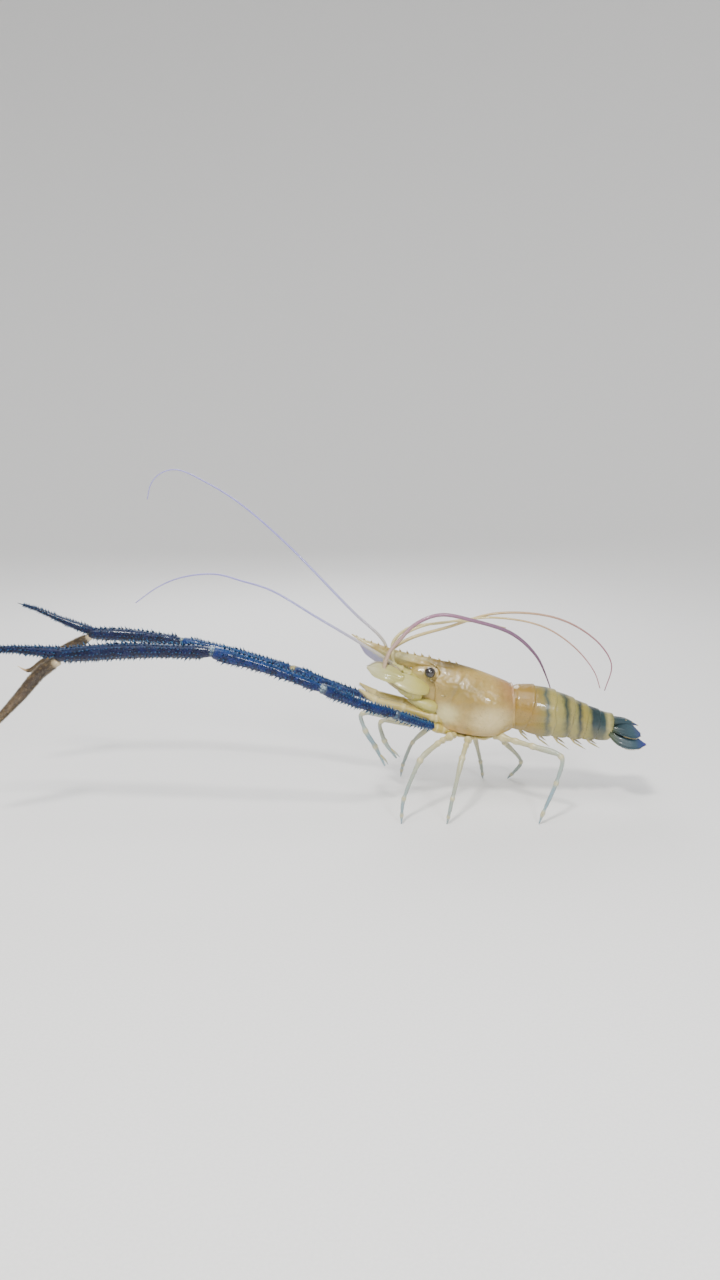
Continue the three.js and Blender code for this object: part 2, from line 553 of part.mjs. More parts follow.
const SIDES = { left: -1, right: 1 };
for (const [side, sign] of Object.entries(SIDES)) {
  const onSide = (points) => points.map(([x, y, z]) => [x, y * sign, z]);
  const [eyeAt] = onSide([EYE_AT]);
  add(`eye_${side}`, PAINTS.eye, (grow) => eyeSolid(eyeAt, grow)
    .add(limb([...onSide([EYESTALK_FROM]), eyeAt], EYESTALK_RADII, { steps: 4, grow })),
  ['carapace', 'head_block', 'rostrum']);
  add(`antennule_${side}`, PAINTS.leg, (grow) => limb(onSide(ANTENNULE_PEDUNCLE), ANTENNULE_RADII, {
    steps: 8, grow,
  }), ['head_block', 'rostrum', `eye_${side}`]);
  add(`antenna_base_${side}`, PAINTS.leg, (grow) => limb(onSide(ANTENNA_BASE), ANTENNA_BASE_RADII, {
    steps: 8, sides: 10, grow,
  }), ['head_block', `antennule_${side}`]);
  const blade = sign < 0 ? SCALE_LEFT : SCALE_RIGHT;
  add(`antennal_scale_${side}`, PAINTS.scale, (grow) => limb(blade, SCALE_HALF_WIDTH, {
    depths: SCALE_HALF_THICKNESS, sides: 10, steps: 10, up: SCALE_FACES[side], grow,
  }), [`antenna_base_${side}`, `antennule_${side}`, 'head_block']);
  const isLeft = sign < 0;
  const base = [`antennule_${side}`, 'rostrum'];
  add(`fore_feeler_${side}`, PAINTS.feeler, (grow) => limb(isLeft ? FORE_LEFT : FORE_RIGHT, FEELER_RADII, {
    sides: 6, steps: 22, grow,
  }), [...base, `antennal_scale_${side}`]);
  add(`back_feeler_${side}`, PAINTS.feeler, (grow) => limb(isLeft ? BACK_LEFT : BACK_RIGHT, FEELER_RADII, {
    sides: 6, steps: 20, up: [0, 1, 0], grow,
  }), [...base, `fore_feeler_${side}`]);
  const whip = isLeft ? ANTENNA_LEFT : ANTENNA_RIGHT;
  add(`antenna_${side}`, PAINTS.feeler, (grow) => limb(whip, ANTENNA_RADII[side], {
    sides: 6, steps: 24, up: [0, 1, 0], grow,
  }), [`antenna_base_${side}`, `antennal_scale_${side}`]);
  add(`maxilliped_${side}`, PAINTS.belly, (grow) => limb(onSide(MAXILLIPED), MAXILLIPED_RADII, {
    steps: 12, grow,
  }), ['carapace', 'sternum', 'head_block', `antenna_base_${side}`]);
  const [innerFace, outerFace] = onSide([UROPOD_FACES.inner, UROPOD_FACES.outer]);
  add(`uropod_inner_${side}`, PAINTS.tail, (grow) => limb(onSide(UROPOD_INNER), UROPOD_HALF_WIDTH.inner, {
    depths: UROPOD_HALF_THICKNESS, sides: 10, steps: 7, up: innerFace, grow,
  }), ['abdomen_6', 'telson']);
  add(`uropod_outer_${side}`, PAINTS.tail, (grow) => limb(onSide(UROPOD_OUTER), UROPOD_HALF_WIDTH.outer, {
    depths: UROPOD_HALF_THICKNESS, sides: 10, steps: 7, up: outerFace, grow,
  }), ['abdomen_6', `uropod_inner_${side}`]);
}

for (const arm of [ARM_LEFT, ARM_RIGHT]) {
  const trunk = ['carapace', 'sternum', `maxilliped_${arm.side}`];
  ARM_SEGMENTS.forEach((segment, i) => {
    const before = i === 0 ? trunk : [`claw_${ARM_SEGMENTS[i - 1]}_${arm.side}`];
    add(`claw_${segment}_${arm.side}`, PAINTS.cobalt, (grow) => armSegment(arm, segment, grow), before);
  });
  add(`claw_finger_${arm.side}`, PAINTS.velvet, (grow) => dactylus(arm, grow), [`claw_palm_${arm.side}`]);
}

for (const [side, sign] of Object.entries(SIDES)) {
  const points = sign < 0 ? mirrored(FIRST_LEG) : FIRST_LEG_RIGHT;
  const neighbours = ['carapace', 'sternum', `claw_ischium_${side}`, `maxilliped_${side}`];
  add(`first_leg_${side}`, PAINTS.leg, (grow) => firstLeg(points, grow), neighbours);
}
for (const [name, points] of Object.entries(LEGS)) {
  add(name, PAINTS.leg, (grow) => standingLeg(points, grow), ['carapace', 'sternum']);
}
for (const [side, sign] of Object.entries(SIDES)) {
  SWIMMERET_AT.forEach((at, pair) => {
    const rings = [1, 2, 3, 4, 5, 6].map((n) => `abdomen_${n}`);
    add(`swimmeret_${pair + 1}_${side}`, PAINTS.leg, (grow) => swimmeret(pair, sign, grow), rings);
  });
}

// Puts the origin under the middle of the whole animal, on the floor.
const extent = new THREE.Box3().setFromObject(model);
const centre = extent.getCenter(new THREE.Vector3());
model.position.set(-centre.x, -centre.y, -extent.min.z);
const prawn = new THREE.Group();
prawn.add(model);

export default prawn;
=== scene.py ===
# %% [markdown]
# # A giant river prawn, life size
#
# The animal is a large male of a freshwater prawn: a translucent olive and cream shell over the head and
# chest, a ringed abdomen that ends in a fan, six walking legs, and one pair of very long blue, spiny claws.
# The solids of the frame give its size and place. Each visible piece is made again here, finer, around
# them.

# %% Load the frame
import math
import random

import bpy
import numpy as np
from mathutils import Matrix, Vector


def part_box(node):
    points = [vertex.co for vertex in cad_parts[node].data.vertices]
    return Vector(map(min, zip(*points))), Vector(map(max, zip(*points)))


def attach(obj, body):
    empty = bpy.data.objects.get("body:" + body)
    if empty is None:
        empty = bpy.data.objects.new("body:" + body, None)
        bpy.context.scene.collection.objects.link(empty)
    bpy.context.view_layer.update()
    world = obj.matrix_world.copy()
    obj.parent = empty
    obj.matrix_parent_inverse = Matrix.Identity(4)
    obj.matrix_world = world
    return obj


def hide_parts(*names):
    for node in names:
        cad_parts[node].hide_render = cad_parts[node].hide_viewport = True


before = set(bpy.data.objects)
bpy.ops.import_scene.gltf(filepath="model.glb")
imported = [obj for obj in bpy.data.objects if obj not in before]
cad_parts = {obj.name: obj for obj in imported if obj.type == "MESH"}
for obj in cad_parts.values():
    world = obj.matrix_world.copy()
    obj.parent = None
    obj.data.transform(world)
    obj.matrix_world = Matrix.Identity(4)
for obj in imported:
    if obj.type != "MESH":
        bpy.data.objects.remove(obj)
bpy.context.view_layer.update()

MM = 0.001
# The low corner of the left eye in the animal's own millimetres, by which the frame is found.
EYE_LOW = (38.2, -12.8)
eye_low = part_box("eye_left")[0]
OFFSET = Vector((eye_low.x - EYE_LOW[0] * MM, eye_low.y - EYE_LOW[1] * MM, 0.0))
print("the animal's own zero lies at", tuple(round(v * 1000, 2) for v in OFFSET), "mm")

# %% [markdown]
# ## Measures
#
# Lengths here are millimetres from the animal's own zero, with the floor at 0, the head towards -X and the
# left side towards -Y. `place_mm` turns such a point into the frame's metres. A row of sizes is read
# smoothly from first to last, and a row of joints is read as one smooth line, so a limb needs only a few
# numbers.

# %% Measures and smooth lines
def place_mm(p):
    return Vector((p[0] * MM, p[1] * MM, p[2] * MM)) + OFFSET


def smooth(sizes):
    """A row of sizes, evenly spaced from 0 to 1, as one smooth function."""
    last = len(sizes) - 1

    def read(t):
        s = min(max(t, 0.0), 1.0) * last
        i = min(int(s), last - 1)
        f = s - i
        a, b, c, d = sizes[max(i - 1, 0)], sizes[i], sizes[i + 1], sizes[min(i + 2, last)]
        bend = (2 * a - 5 * b + 4 * c - d) * f * f + (3 * b - a - 3 * c + d) * f * f * f
        return 0.5 * (2 * b + (c - a) * f + bend)

    return read


def hump(x, middle, width):
    """A soft bump of height 1 round a middle."""
    return math.exp(-(((x - middle) / width) ** 2))


def ease(x, start, end):
    """0 before the start, 1 after the end, smooth between."""
    s = min(max((x - start) / (end - start), 0.0), 1.0)
    return s * s * (3 - 2 * s)


print("half way, ease gives", ease(0.5, 0, 1), "and the row 1, 2, 4 reads", smooth([1, 2, 4])(0.5))


# %% Smooth lines
def smooth_line(points, per=30):
    """A smooth line through joints, read by its share of length: it gives a point and a direction."""
    p = [Vector(q) for q in points]
    p = [2 * p[0] - p[1]] + p + [2 * p[-1] - p[-2]]
    dense = []
    for i in range(1, len(p) - 2):
        k = [0.0]
        for j in range(3):
            k.append(k[-1] + max((p[i + j] - p[i + j - 1]).length, 1e-6) ** 0.5)
        for j in range(per):
            t = k[1] + (k[2] - k[1]) * j / per
            a1 = p[i - 1].lerp(p[i], (t - k[0]) / (k[1] - k[0]))
            a2 = p[i].lerp(p[i + 1], (t - k[1]) / (k[2] - k[1]))
            a3 = p[i + 1].lerp(p[i + 2], (t - k[2]) / (k[3] - k[2]))
            b1 = a1.lerp(a2, (t - k[0]) / (k[2] - k[0]))
            b2 = a2.lerp(a3, (t - k[1]) / (k[3] - k[1]))
            dense.append(b1.lerp(b2, (t - k[1]) / (k[2] - k[1])))
    dense.append(p[-2])
    at = np.array([tuple(q) for q in dense])
    run = np.concatenate([[0.0], np.cumsum(np.linalg.norm(np.diff(at, axis=0), axis=1))])
    share = run / run[-1]

    def read(t):
        rows = [np.interp((t, max(t - 0.01, 0.0), min(t + 0.01, 1.0)), share, at[:, k]) for k in range(3)]
        return Vector([r[0] for r in rows]), Vector([r[2] - r[1] for r in rows]).normalized()

    read.length = run[-1]
    read.joints = [share[i * per] for i in range(len(points))]
    return read


def straight_lengths(points, rounding=0.14):
    """Keeps a limb straight between its joints: each inner joint becomes two points close to it."""
    bent = [Vector(points[0])]
    for before, at, after in zip(points, points[1:], points[2:]):
        bent += [Vector(at).lerp(Vector(q), rounding) for q in (before, after)]
    return bent + [Vector(points[-1])]


print("a line through (0, 0, 0), (3, 0, 0) and (3, 4, 0) is",
      round(smooth_line([(0, 0, 0), (3, 0, 0), (3, 4, 0)]).length, 2), "mm long")


# %% [markdown]
# ## Making a form
#
# A shell or a leg starts as a cylinder primitive. Its long edges are subdivided in edit mode, which gives
# rings, and each ring is then moved out to the limb's line, turned across it and sized, as one would with
# grab, rotate and scale. A subdivision surface smooths the result and is applied. The form keeps three
# numbers on its points for the colours to read: the millimetres along it, how near its upper side a point
# is, and how near a joint.

# %% Rings from a cylinder
def deselect():
    if bpy.context.object and bpy.context.object.mode != "OBJECT":
        bpy.ops.object.mode_set(mode="OBJECT")
    bpy.ops.object.select_all(action="DESELECT")


def apply_modifier(piece, kind, **settings):
    modifier = piece.modifiers.new(kind.title(), kind)
    for key, value in settings.items():
        setattr(modifier, key, value)
    bpy.context.view_layer.objects.active = piece
    bpy.ops.object.modifier_apply(modifier=modifier.name)


def ringed_cylinder(name, sides, rings):
    """A cylinder primitive of unit radius and height whose long edges are subdivided into rings."""
    deselect()
    bpy.ops.mesh.primitive_cylinder_add(vertices=sides, radius=1, depth=1, end_fill_type="TRIFAN")
    piece = bpy.context.object
    piece.name = piece.data.name = name
    mesh = piece.data
    mesh.vertices.foreach_set("select", [False] * len(mesh.vertices))
    mesh.polygons.foreach_set("select", [False] * len(mesh.polygons))
    for e in mesh.edges:
        a, b = (mesh.vertices[i].co for i in e.vertices)
        e.select = abs(a.z - b.z) > 0.5
    bpy.ops.object.mode_set(mode="EDIT")
    bpy.ops.mesh.select_mode(type="EDGE")
    bpy.ops.mesh.subdivide(number_cuts=rings - 1)
    bpy.ops.object.mode_set(mode="OBJECT")
    return piece


print("the ring helpers are ready")


# %% The finished form
def formed(name, place, sides=24, rings=16, smoothing=1, length=1.0, joints=(), joint_width=0.03):
    """A closed form whose points go where place(share along, angle, reach) says."""
    piece = ringed_cylinder(name, sides, rings)
    mesh = piece.data
    marks = {key: [] for key in ("along", "back", "joint")}
    for v in mesh.vertices:
        reach = math.hypot(v.co.x, v.co.y)
        angle = math.atan2(v.co.x, v.co.y) if reach > 1e-4 else 0.0
        t = v.co.z + 0.5
        v.co = place_mm(place(t, angle, 1.0 if reach > 1e-4 else 0.0))
        marks["along"].append(t * length)
        marks["back"].append(math.cos(angle))
        marks["joint"].append(max([hump(t, j, joint_width) for j in joints] + [0.0]))
    for key, values in marks.items():
        mesh.attributes.new(key, "FLOAT", "POINT").data.foreach_set("value", values)
    return finish_form(piece, smoothing)


def finish_form(piece, smoothing=1):
    bpy.context.view_layer.objects.active = piece
    piece.select_set(True)
    bpy.ops.object.mode_set(mode="EDIT")
    bpy.ops.mesh.select_all(action="SELECT")
    bpy.ops.mesh.normals_make_consistent(inside=False)
    bpy.ops.object.mode_set(mode="OBJECT")
    if smoothing:
        apply_modifier(piece, "SUBSURF", levels=smoothing, render_levels=smoothing)
    bpy.ops.object.shade_smooth()
    return piece


print("the form helpers are ready")


# %% Limbs, carving and joining
def limb_surface(points, radii, depths=None, up=(0, 0, 1)):
    """A limb's surface as a function of the share of its length, the angle round it and the reach."""
    line = smooth_line(points)
    width, depth = smooth(radii), smooth(depths or radii)
    upward = Vector(up)

    def surface(t, angle, reach=1.0):
        at, ahead = line(t)
        side = ahead.cross(upward).normalized()
        lift = side.cross(ahead)
        return (at + side * (reach * width(t) * math.sin(angle))
                + lift * (reach * depth(t) * math.cos(angle)))

    surface.length = line.length
    surface.joints = line.joints
    return surface


def carved(surface, factor):
    """The same surface with its radius multiplied by factor(t, angle), for grooves, ribs and swellings."""
    def read(t, angle, reach=1.0):
        axis = surface(t, angle, 0.0)
        return axis + (surface(t, angle, reach) - axis) * factor(t, angle)

    read.length = surface.length
    return read


def joined(name, pieces):
    """Several forms as one piece."""
    deselect()
    for piece in pieces:
        piece.select_set(True)
    bpy.context.view_layer.objects.active = pieces[0]
    if len(pieces) > 1:
        bpy.ops.object.join()
    pieces[0].name = pieces[0].data.name = name
    return pieces[0]


print("the limb helpers are ready")


# %% [markdown]
# ## Spines and hairs
#
# A spine is modelled once: a cylinder of a few sides, drawn to a point and bent a little forward. Hundreds
# of copies then stand on a limb, each turned to lean towards the tip, and all the copies of one limb are
# one mesh. Their map gives each copy a small patch at its root's place on the unrolled limb, so a baked
# colour stays where the limb has it.

# %% Spines, hairs and rows
def spine_form(name, sides, rings, bend):
    """A spine of unit height and radius that stands on its origin and bends towards +Y."""
    spine = ringed_cylinder(name, sides, rings)
    for v in spine.data.vertices:
        t = v.co.z + 0.5
        thin = max((1 - t) ** 0.85, 0.02)
        v.co = Vector((v.co.x * thin, v.co.y * thin + bend * t * t, t))
    mesh = spine.data.copy()
    bpy.data.objects.remove(spine)
    return mesh


def hair_form(name):
    """A hair: a cone primitive of three sides and no base, which stands on its origin."""
    deselect()
    bpy.ops.mesh.primitive_cone_add(vertices=3, radius1=1, depth=1, end_fill_type="NOTHING",
                                    location=(0, 0, 0.5))
    bpy.ops.object.transform_apply(location=True)
    cone = bpy.context.object
    mesh = cone.data.copy()
    mesh.name = name
    bpy.data.objects.remove(cone)
    return mesh


SPINE = spine_form("spine_form", 5, 2, 1.2)
TOOTH = spine_form("tooth_form", 8, 3, 1.0)
HAIR = hair_form("hair_form")
print("faces of a spine, a tooth and a hair:", [len(form.polygons) for form in (SPINE, TOOTH, HAIR)])


# %% Placing and joining the copies
# The width of the patch that each copy has on the map.
PATCH = 0.003


def standing(surface, t, angle, length, radius, lean=0.6, sunk=0.2, roll=0.0, flat=1.0):
    """Where one spine stands on a surface, leaning to its tip: a matrix and its root on the unrolled limb."""
    root = surface(t, angle)
    outward = (root - surface(t, angle, 0.0)).normalized()
    forward = (surface(min(t + 0.01, 1), angle) - surface(max(t - 0.01, 0), angle)).normalized()
    sideways = outward.cross(forward).normalized()
    up = (outward * (1 - lean) + forward * lean + sideways * roll).normalized()
    across = up.cross(forward).normalized()
    bending = across.cross(up)
    turn = Matrix((across, -bending, up)).transposed()
    if turn.determinant() < 0:
        turn = Matrix((-across, -bending, up)).transposed()
    size = Matrix.Diagonal((radius * MM * flat, radius * MM, length * MM, 1.0))
    matrix = Matrix.Translation(place_mm(root - outward * sunk)) @ turn.to_4x4() @ size
    return matrix, (0.02 + 0.96 * min(max(t, 0), 1), 0.02 + 0.96 * ((angle / math.tau) % 1.0))


def scattered(name, form, placements):
    """Many copies of one small form, joined as one mesh, with a patch of the map for each."""
    base = np.array([tuple(v.co) for v in form.vertices])
    faces = np.array([len(f.vertices) for f in form.polygons])
    corners = np.concatenate([np.array(f.vertices) for f in form.polygons])
    count, copies = len(base), len(placements)
    matrices = np.array([np.array(m) for m, root in placements])
    points = np.einsum("nij,kj->nki", matrices[:, :3, :3], base) + matrices[:, None, :3, 3]
    mesh = bpy.data.meshes.new(name)
    mesh.vertices.add(count * copies)
    mesh.vertices.foreach_set("co", points.ravel())
    loops = (corners[None, :] + count * np.arange(copies)[:, None]).ravel()
    mesh.loops.add(len(loops))
    mesh.loops.foreach_set("vertex_index", loops)
    sizes = np.tile(faces, copies)
    mesh.polygons.add(len(sizes))
    mesh.polygons.foreach_set("loop_start", np.concatenate([[0], np.cumsum(sizes)[:-1]]))
    mesh.update(calc_edges=True)
    turn = math.tau * corners / count
    ring = PATCH / 2 * np.stack([np.cos(turn), np.sin(turn)], axis=1)
    roots = np.array([root for m, root in placements])
    mesh.uv_layers.new(name="OFBake").data.foreach_set("uv", (roots[:, None, :] + ring[None]).ravel())
    tips = mesh.attributes.new("tip", "FLOAT", "POINT")
    tips.data.foreach_set("value", np.tile(base[:, 2], copies))
    mesh.polygons.foreach_set("use_smooth", [True] * len(sizes))
    piece = bpy.data.objects.new(name, mesh)
    bpy.context.scene.collection.objects.link(piece)
    return piece


print("each copy has a patch of", PATCH, "on the map")


# %% Dressing a piece
def dress(piece, material, slot, *nodes):
    """Gives a finished piece its material, sets it under the root and hides the solids that it stands for.
    The slot is not used.
    """
    piece.data.materials.clear()
    piece.data.materials.append(material)
    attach(piece, "root")
    if nodes:
        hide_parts(*nodes)
    triangles = sum(len(f.vertices) - 2 for f in piece.data.polygons)
    print(f"{piece.name}: {triangles} triangles")
    return piece


# %% [markdown]
# ## Camera, floor and light
#
# The camera stands where the photograph was taken from: about 58 cm away, 12 degrees above the animal, with
# a wide lens. A wet shell mirrors its lamp, so a large soft box would lie over it as a grey haze, and small
# ones over and beside it give the crisp highlights of wet skin. A broad one behind lifts the far edge. A
# wide sun lamp stands for the even light of a pale ceiling and keeps the floor one tone out to its edge.

# %% Camera, floor and light
def aimed(obj, location, target):
    obj.location = place_mm(location)
    obj.rotation_euler = (place_mm(target) - obj.location).to_track_quat("-Z", "Y").to_euler()
    bpy.context.scene.collection.objects.link(obj)
    return obj


# The photograph's focal length and height in pixels. The distances are in millimetres.
PHOTO_FOCAL = 961
PHOTO_HEIGHT = 1280
CAMERA_DISTANCE = 577
CAMERA_ELEVATION = math.radians(12)
SENSOR_WIDTH = 36
TARGET_HEIGHT = 101
TARGET = (0, 0, TARGET_HEIGHT)
view = bpy.data.cameras.new("camera")
view.sensor_width = SENSOR_WIDTH
view.lens = SENSOR_WIDTH * PHOTO_FOCAL / PHOTO_HEIGHT
view.clip_start = 0.01
camera = aimed(bpy.data.objects.new("camera", view),
               (0, -CAMERA_DISTANCE * math.cos(CAMERA_ELEVATION),
                TARGET_HEIGHT + CAMERA_DISTANCE * math.sin(CAMERA_ELEVATION)),
               TARGET)
bpy.context.scene.camera = camera

for name, location, size, power, tint in [
        ("key_softbox", (-150, -500, 800), 0.12, 7.5, (1.0, 0.98, 0.95)),
        ("strip_softbox", (260, -620, 420), 0.1, 2.2, (0.95, 0.97, 1.0)),
        ("back_softbox", (-100, 700, 600), 0.5, 5.0, (0.96, 0.97, 1.0))]:
    lamp = bpy.data.lights.new(name, "AREA")
    lamp.size = size
    lamp.energy = power
    lamp.color = tint
    aimed(bpy.data.objects.new(name, lamp), location, (-20, 0, 60))
ceiling = bpy.data.lights.new("ceiling_light", "SUN")
ceiling.energy = 1.5
ceiling.angle = math.radians(50)
aimed(bpy.data.objects.new("ceiling_light", ceiling), (-300, -500, 1500), (0, 0, 0))
print("camera lens", round(view.lens, 2), "mm at", [round(v, 3) for v in camera.location])

# %% [markdown]
# ## Materials: the helper
#
# Colours are written as the hex values one reads from a screen, so one function turns them to the linear
# values that Blender mixes. One more adds a node with its settings and links. Object coordinates are turned
# to the animal's own millimetres, so that a spot can be put on a cheek by its place.

# %% Colour and nodes
def colour(code):
    values = [int(code[i:i + 2], 16) / 255 for i in (1, 3, 5)]
    linear = [v / 12.92 if v <= 0.04045 else ((v + 0.055) / 1.055) ** 2.4 for v in values]
    return (*linear, 1.0)


def add_node(tree, kind, inputs=None, stops=None, out=0, **settings):
    """Adds a shader node with its settings and gives one output. An input is a value or another output."""
    made = tree.nodes.new("ShaderNode" + kind)
    for key, value in settings.items():
        setattr(made, key, value)
    if stops:
        ramp = made.color_ramp
        while len(ramp.elements) < len(stops):
            ramp.elements.new(0.5)
        for element, (position, code) in zip(ramp.elements, stops):
            element.position = position
            element.color = colour(code)
    for key, value in (inputs or {}).items():
        if isinstance(value, bpy.types.NodeSocket):
            tree.links.new(value, made.inputs[key])
        else:
            made.inputs[key].default_value = value
    return made.outputs[out] if made.outputs else None


# The colour sockets of a Mix node, which share their names with its number sockets.
MIX_A, MIX_B, MIX_RESULT = 6, 7, 2
print("white is", colour("#ffffff"))


# %% Starting, tinting and closing a material
def new_material(name):
    """An empty material, its node tree, and a place in the animal's own millimetres for patterns to read."""
    material = bpy.data.materials.new(name)
    material.use_nodes = True
    tree = material.node_tree
    tree.nodes.clear()
    coordinates = add_node(tree, "TexCoord", out="Object")
    shift = tuple(-v / MM for v in OFFSET)
    mm = add_node(tree, "VectorMath", {0: coordinates, 1: (1000, 1000, 1000), 2: shift},
                  operation="MULTIPLY_ADD")
    return material, tree, mm


def region(tree, mm, centre, radii, soft=0.5):
    """How far a point lies inside an ellipsoid: 1 in its middle, falling to 0 at its edge."""
    away = add_node(tree, "VectorMath", {0: mm, 1: centre}, operation="SUBTRACT")
    scaled = add_node(tree, "VectorMath", {0: away, 1: radii}, operation="DIVIDE")
    far = add_node(tree, "VectorMath", {0: scaled}, operation="LENGTH", out="Value")
    return add_node(tree, "MapRange", {"Value": far, "From Min": 1.0, "From Max": 1.0 - soft},
                    interpolation_type="SMOOTHSTEP")


def tinted(tree, base, code, share):
    """A colour laid over another by a share."""
    inputs = {0: share, MIX_A: base, MIX_B: colour(code)}
    return add_node(tree, "Mix", inputs, data_type="RGBA", out=MIX_RESULT)


def scaled_share(tree, share, factor):
    return add_node(tree, "Math", {0: share, 1: factor}, operation="MULTIPLY")


def close(tree, base, normal=None, **settings):
    """The shader and the output that end every material here."""
    inputs = {key.replace("_", " "): value for key, value in settings.items()}
    if normal:
        inputs["Normal"] = normal
    shader = add_node(tree, "BsdfPrincipled", {"Base Color": base, **inputs})
    add_node(tree, "OutputMaterial", {"Surface": shader})


print("the material helpers are ready")

# %% [markdown]
# ## Floor
#
# A museum model is photographed on matt board that curves up behind it, so that no edge shows. Here the
# board is a circle whose rim is extruded up and outward in small steps, as a shallow bowl all round.

# %% Floor and room
deselect()
FLOOR_RADIUS = 0.8
bpy.ops.mesh.primitive_circle_add(vertices=128, radius=FLOOR_RADIUS, fill_type="TRIFAN", location=(0, 0, 0))
floor = bpy.context.object
floor.name = "floor"
for e in floor.data.edges:
    e.select = all(floor.data.vertices[i].co.length > FLOOR_RADIUS / 2 for i in e.vertices)
for v in floor.data.vertices:
    v.select = v.co.length > FLOOR_RADIUS / 2
for f in floor.data.polygons:
    f.select = False
bpy.ops.object.mode_set(mode="EDIT")
bpy.ops.mesh.select_mode(type="EDGE")
BOWL_STEPS = 22
STEP_LENGTH = 0.2
rim = FLOOR_RADIUS
for step in range(BOWL_STEPS):
    steepness = math.radians(80) * ease(step, -2, BOWL_STEPS * 0.8)
    wider = rim + STEP_LENGTH * math.cos(steepness)
    upward = (0, 0, STEP_LENGTH * math.sin(steepness))
    bpy.ops.mesh.extrude_edges_move(TRANSFORM_OT_translate={"value": upward})
    bpy.ops.transform.resize(value=(wider / rim, wider / rim, 1), center_override=(0, 0, 0))
    rim = wider
bpy.ops.object.mode_set(mode="OBJECT")
bpy.ops.object.shade_smooth()
board, tree, mm = new_material("matt_museum_board")
grain = add_node(tree, "TexNoise", {"Vector": mm, "Scale": 0.8, "Detail": 4.0})
board_colour = add_node(tree, "ValToRGB", {"Fac": grain},
                        [(0.3, "#e3e2e0"), (0.7, "#e9e8e6")])
close(tree, board_colour, Roughness=0.9)
floor.data.materials.append(board)

room = bpy.data.worlds.new("room")
room.use_nodes = True
room.node_tree.nodes["Background"].inputs["Color"].default_value = colour("#e6e8ec")
room.node_tree.nodes["Background"].inputs["Strength"].default_value = 0.6
bpy.context.scene.world = room
print("floor and room are set")

# %% [markdown]
# ## Materials of the shell
#
# A prawn's shell is chitin: thin, hard, wet and a little translucent, with pigment spots under it. So each
# one is a dielectric with an index of refraction of 1.5, a smooth wet coat over a rougher body, and on the
# pale parts some scattering below the surface. The dark parts have a weaker coat. The colour of the chest
# shell is olive and cream in soft fields with fine pigment specks of about 0.4 mm; each field has its own
# place.

# %% Chest shell: specks and relief
# Wet chitin, pale and dark. SPECK is the width of a pigment spot in millimetres.
CHITIN = {"IOR": 1.5, "Roughness": 0.34, "Coat_Weight": 0.45, "Coat_Roughness": 0.05,
          "Subsurface_Radius": (1.0, 0.7, 0.4)}
DARK_CHITIN = {"IOR": 1.5, "Roughness": 0.42, "Specular_IOR_Level": 0.25, "Coat_Weight": 0.22,
               "Coat_Roughness": 0.05}
SPECK = 0.4


def speckled(tree, mm, base, code, share=0.35, size=SPECK):
    """Pigment cells: small dark specks, denser in cloudy fields."""
    cells = add_node(tree, "TexVoronoi", {"Vector": mm, "Scale": 1 / (2.2 * size)})
    clouds = add_node(tree, "TexNoise", {"Vector": mm, "Scale": 0.12, "Detail": 3.0})
    dots = add_node(tree, "MapRange", {"Value": cells, "From Min": 0.42, "From Max": 0.12})
    dense = add_node(tree, "MapRange", {"Value": clouds, "From Min": 0.4, "From Max": 0.65})
    both = add_node(tree, "Math", {0: dots, 1: dense}, operation="MULTIPLY")
    return tinted(tree, base, code, scaled_share(tree, both, share))


def wet_relief(tree, mm, size, depth, swell=0.0):
    """Fine uneven relief of a living shell, as bump, over slower waves that bend its highlights."""
    waves = add_node(tree, "TexNoise", {"Vector": mm, "Scale": 0.22, "Detail": 1.0})
    slow = add_node(tree, "Bump", {"Strength": 1.0, "Distance": swell * MM, "Height": waves})
    noise = add_node(tree, "TexNoise", {"Vector": mm, "Scale": 1 / size, "Detail": 4.0})
    return add_node(tree, "Bump", {"Strength": 0.35, "Distance": depth * MM, "Height": noise,
                                             "Normal": slow})


def granular_relief(tree, mm, size, depth):
    """The small scaly bumps of a claw's shell, which break a highlight into glints."""
    cells = add_node(tree, "TexVoronoi", {"Vector": mm, "Scale": 1 / size})
    grain = add_node(tree, "MapRange", {"Value": cells, "From Min": 0.55, "From Max": 0.1})
    return add_node(tree, "Bump", {"Strength": 0.8, "Distance": depth * MM, "Height": grain})


print("the shell's relief and specks are ready")


# %% Chest shell: its colour
def chest_shell():
    """Clouded olive and cream chitin under a film of water: soft colour below, clear highlights on top."""
    material, tree, mm = new_material("wet_olive_chitin")
    drift = add_node(tree, "TexNoise", {"Vector": mm, "Scale": 0.07, "Detail": 5.0})
    base = add_node(tree, "ValToRGB", {"Fac": drift},
                    [(0.32, "#8c7436"), (0.5, "#9c8444"), (0.68, "#a98f52")])
    fields = [("#382e10", (57, 0, 91), (24, 12, 13), 0.95), ("#9a6a48", (91, 0, 70), (16, 24, 22), 0.6),
              ("#5e5428", (60, 0, 73), (24, 20, 9), 0.7), ("#b07a4a", (56, 0, 45), (30, 22, 8), 0.4),
              ("#cabf88", (50, -14, 58), (13, 14, 10), 0.85), ("#c8b684", (77, -16, 55), (18, 14, 12), 0.85),
              ("#cabf88", (50, 14, 58), (13, 14, 10), 0.85), ("#c8b684", (77, 16, 55), (18, 14, 12), 0.85),
              ("#8a6a16", (50, 0, 90), (10, 6, 4), 0.6), ("#b0a870", (20, 0, 91), (30, 7, 8), 0.8),
              ("#cdc49a", (2, 0, 101), (14, 4, 7), 0.8), ("#98904a", (34, 0, 74), (13, 16, 15), 0.85)]
    for code, centre, radii, share in fields:
        inside = region(tree, mm, centre, radii, 0.8)
        base = tinted(tree, base, code, scaled_share(tree, inside, share))
    base = speckled(tree, mm, base, "#4a4128", 0.5)
    close(tree, base, wet_relief(tree, mm, 1.6, 0.25, 1.3), Subsurface_Weight=0.25,
          Subsurface_Scale=2.5 * MM, **CHITIN)
    return material


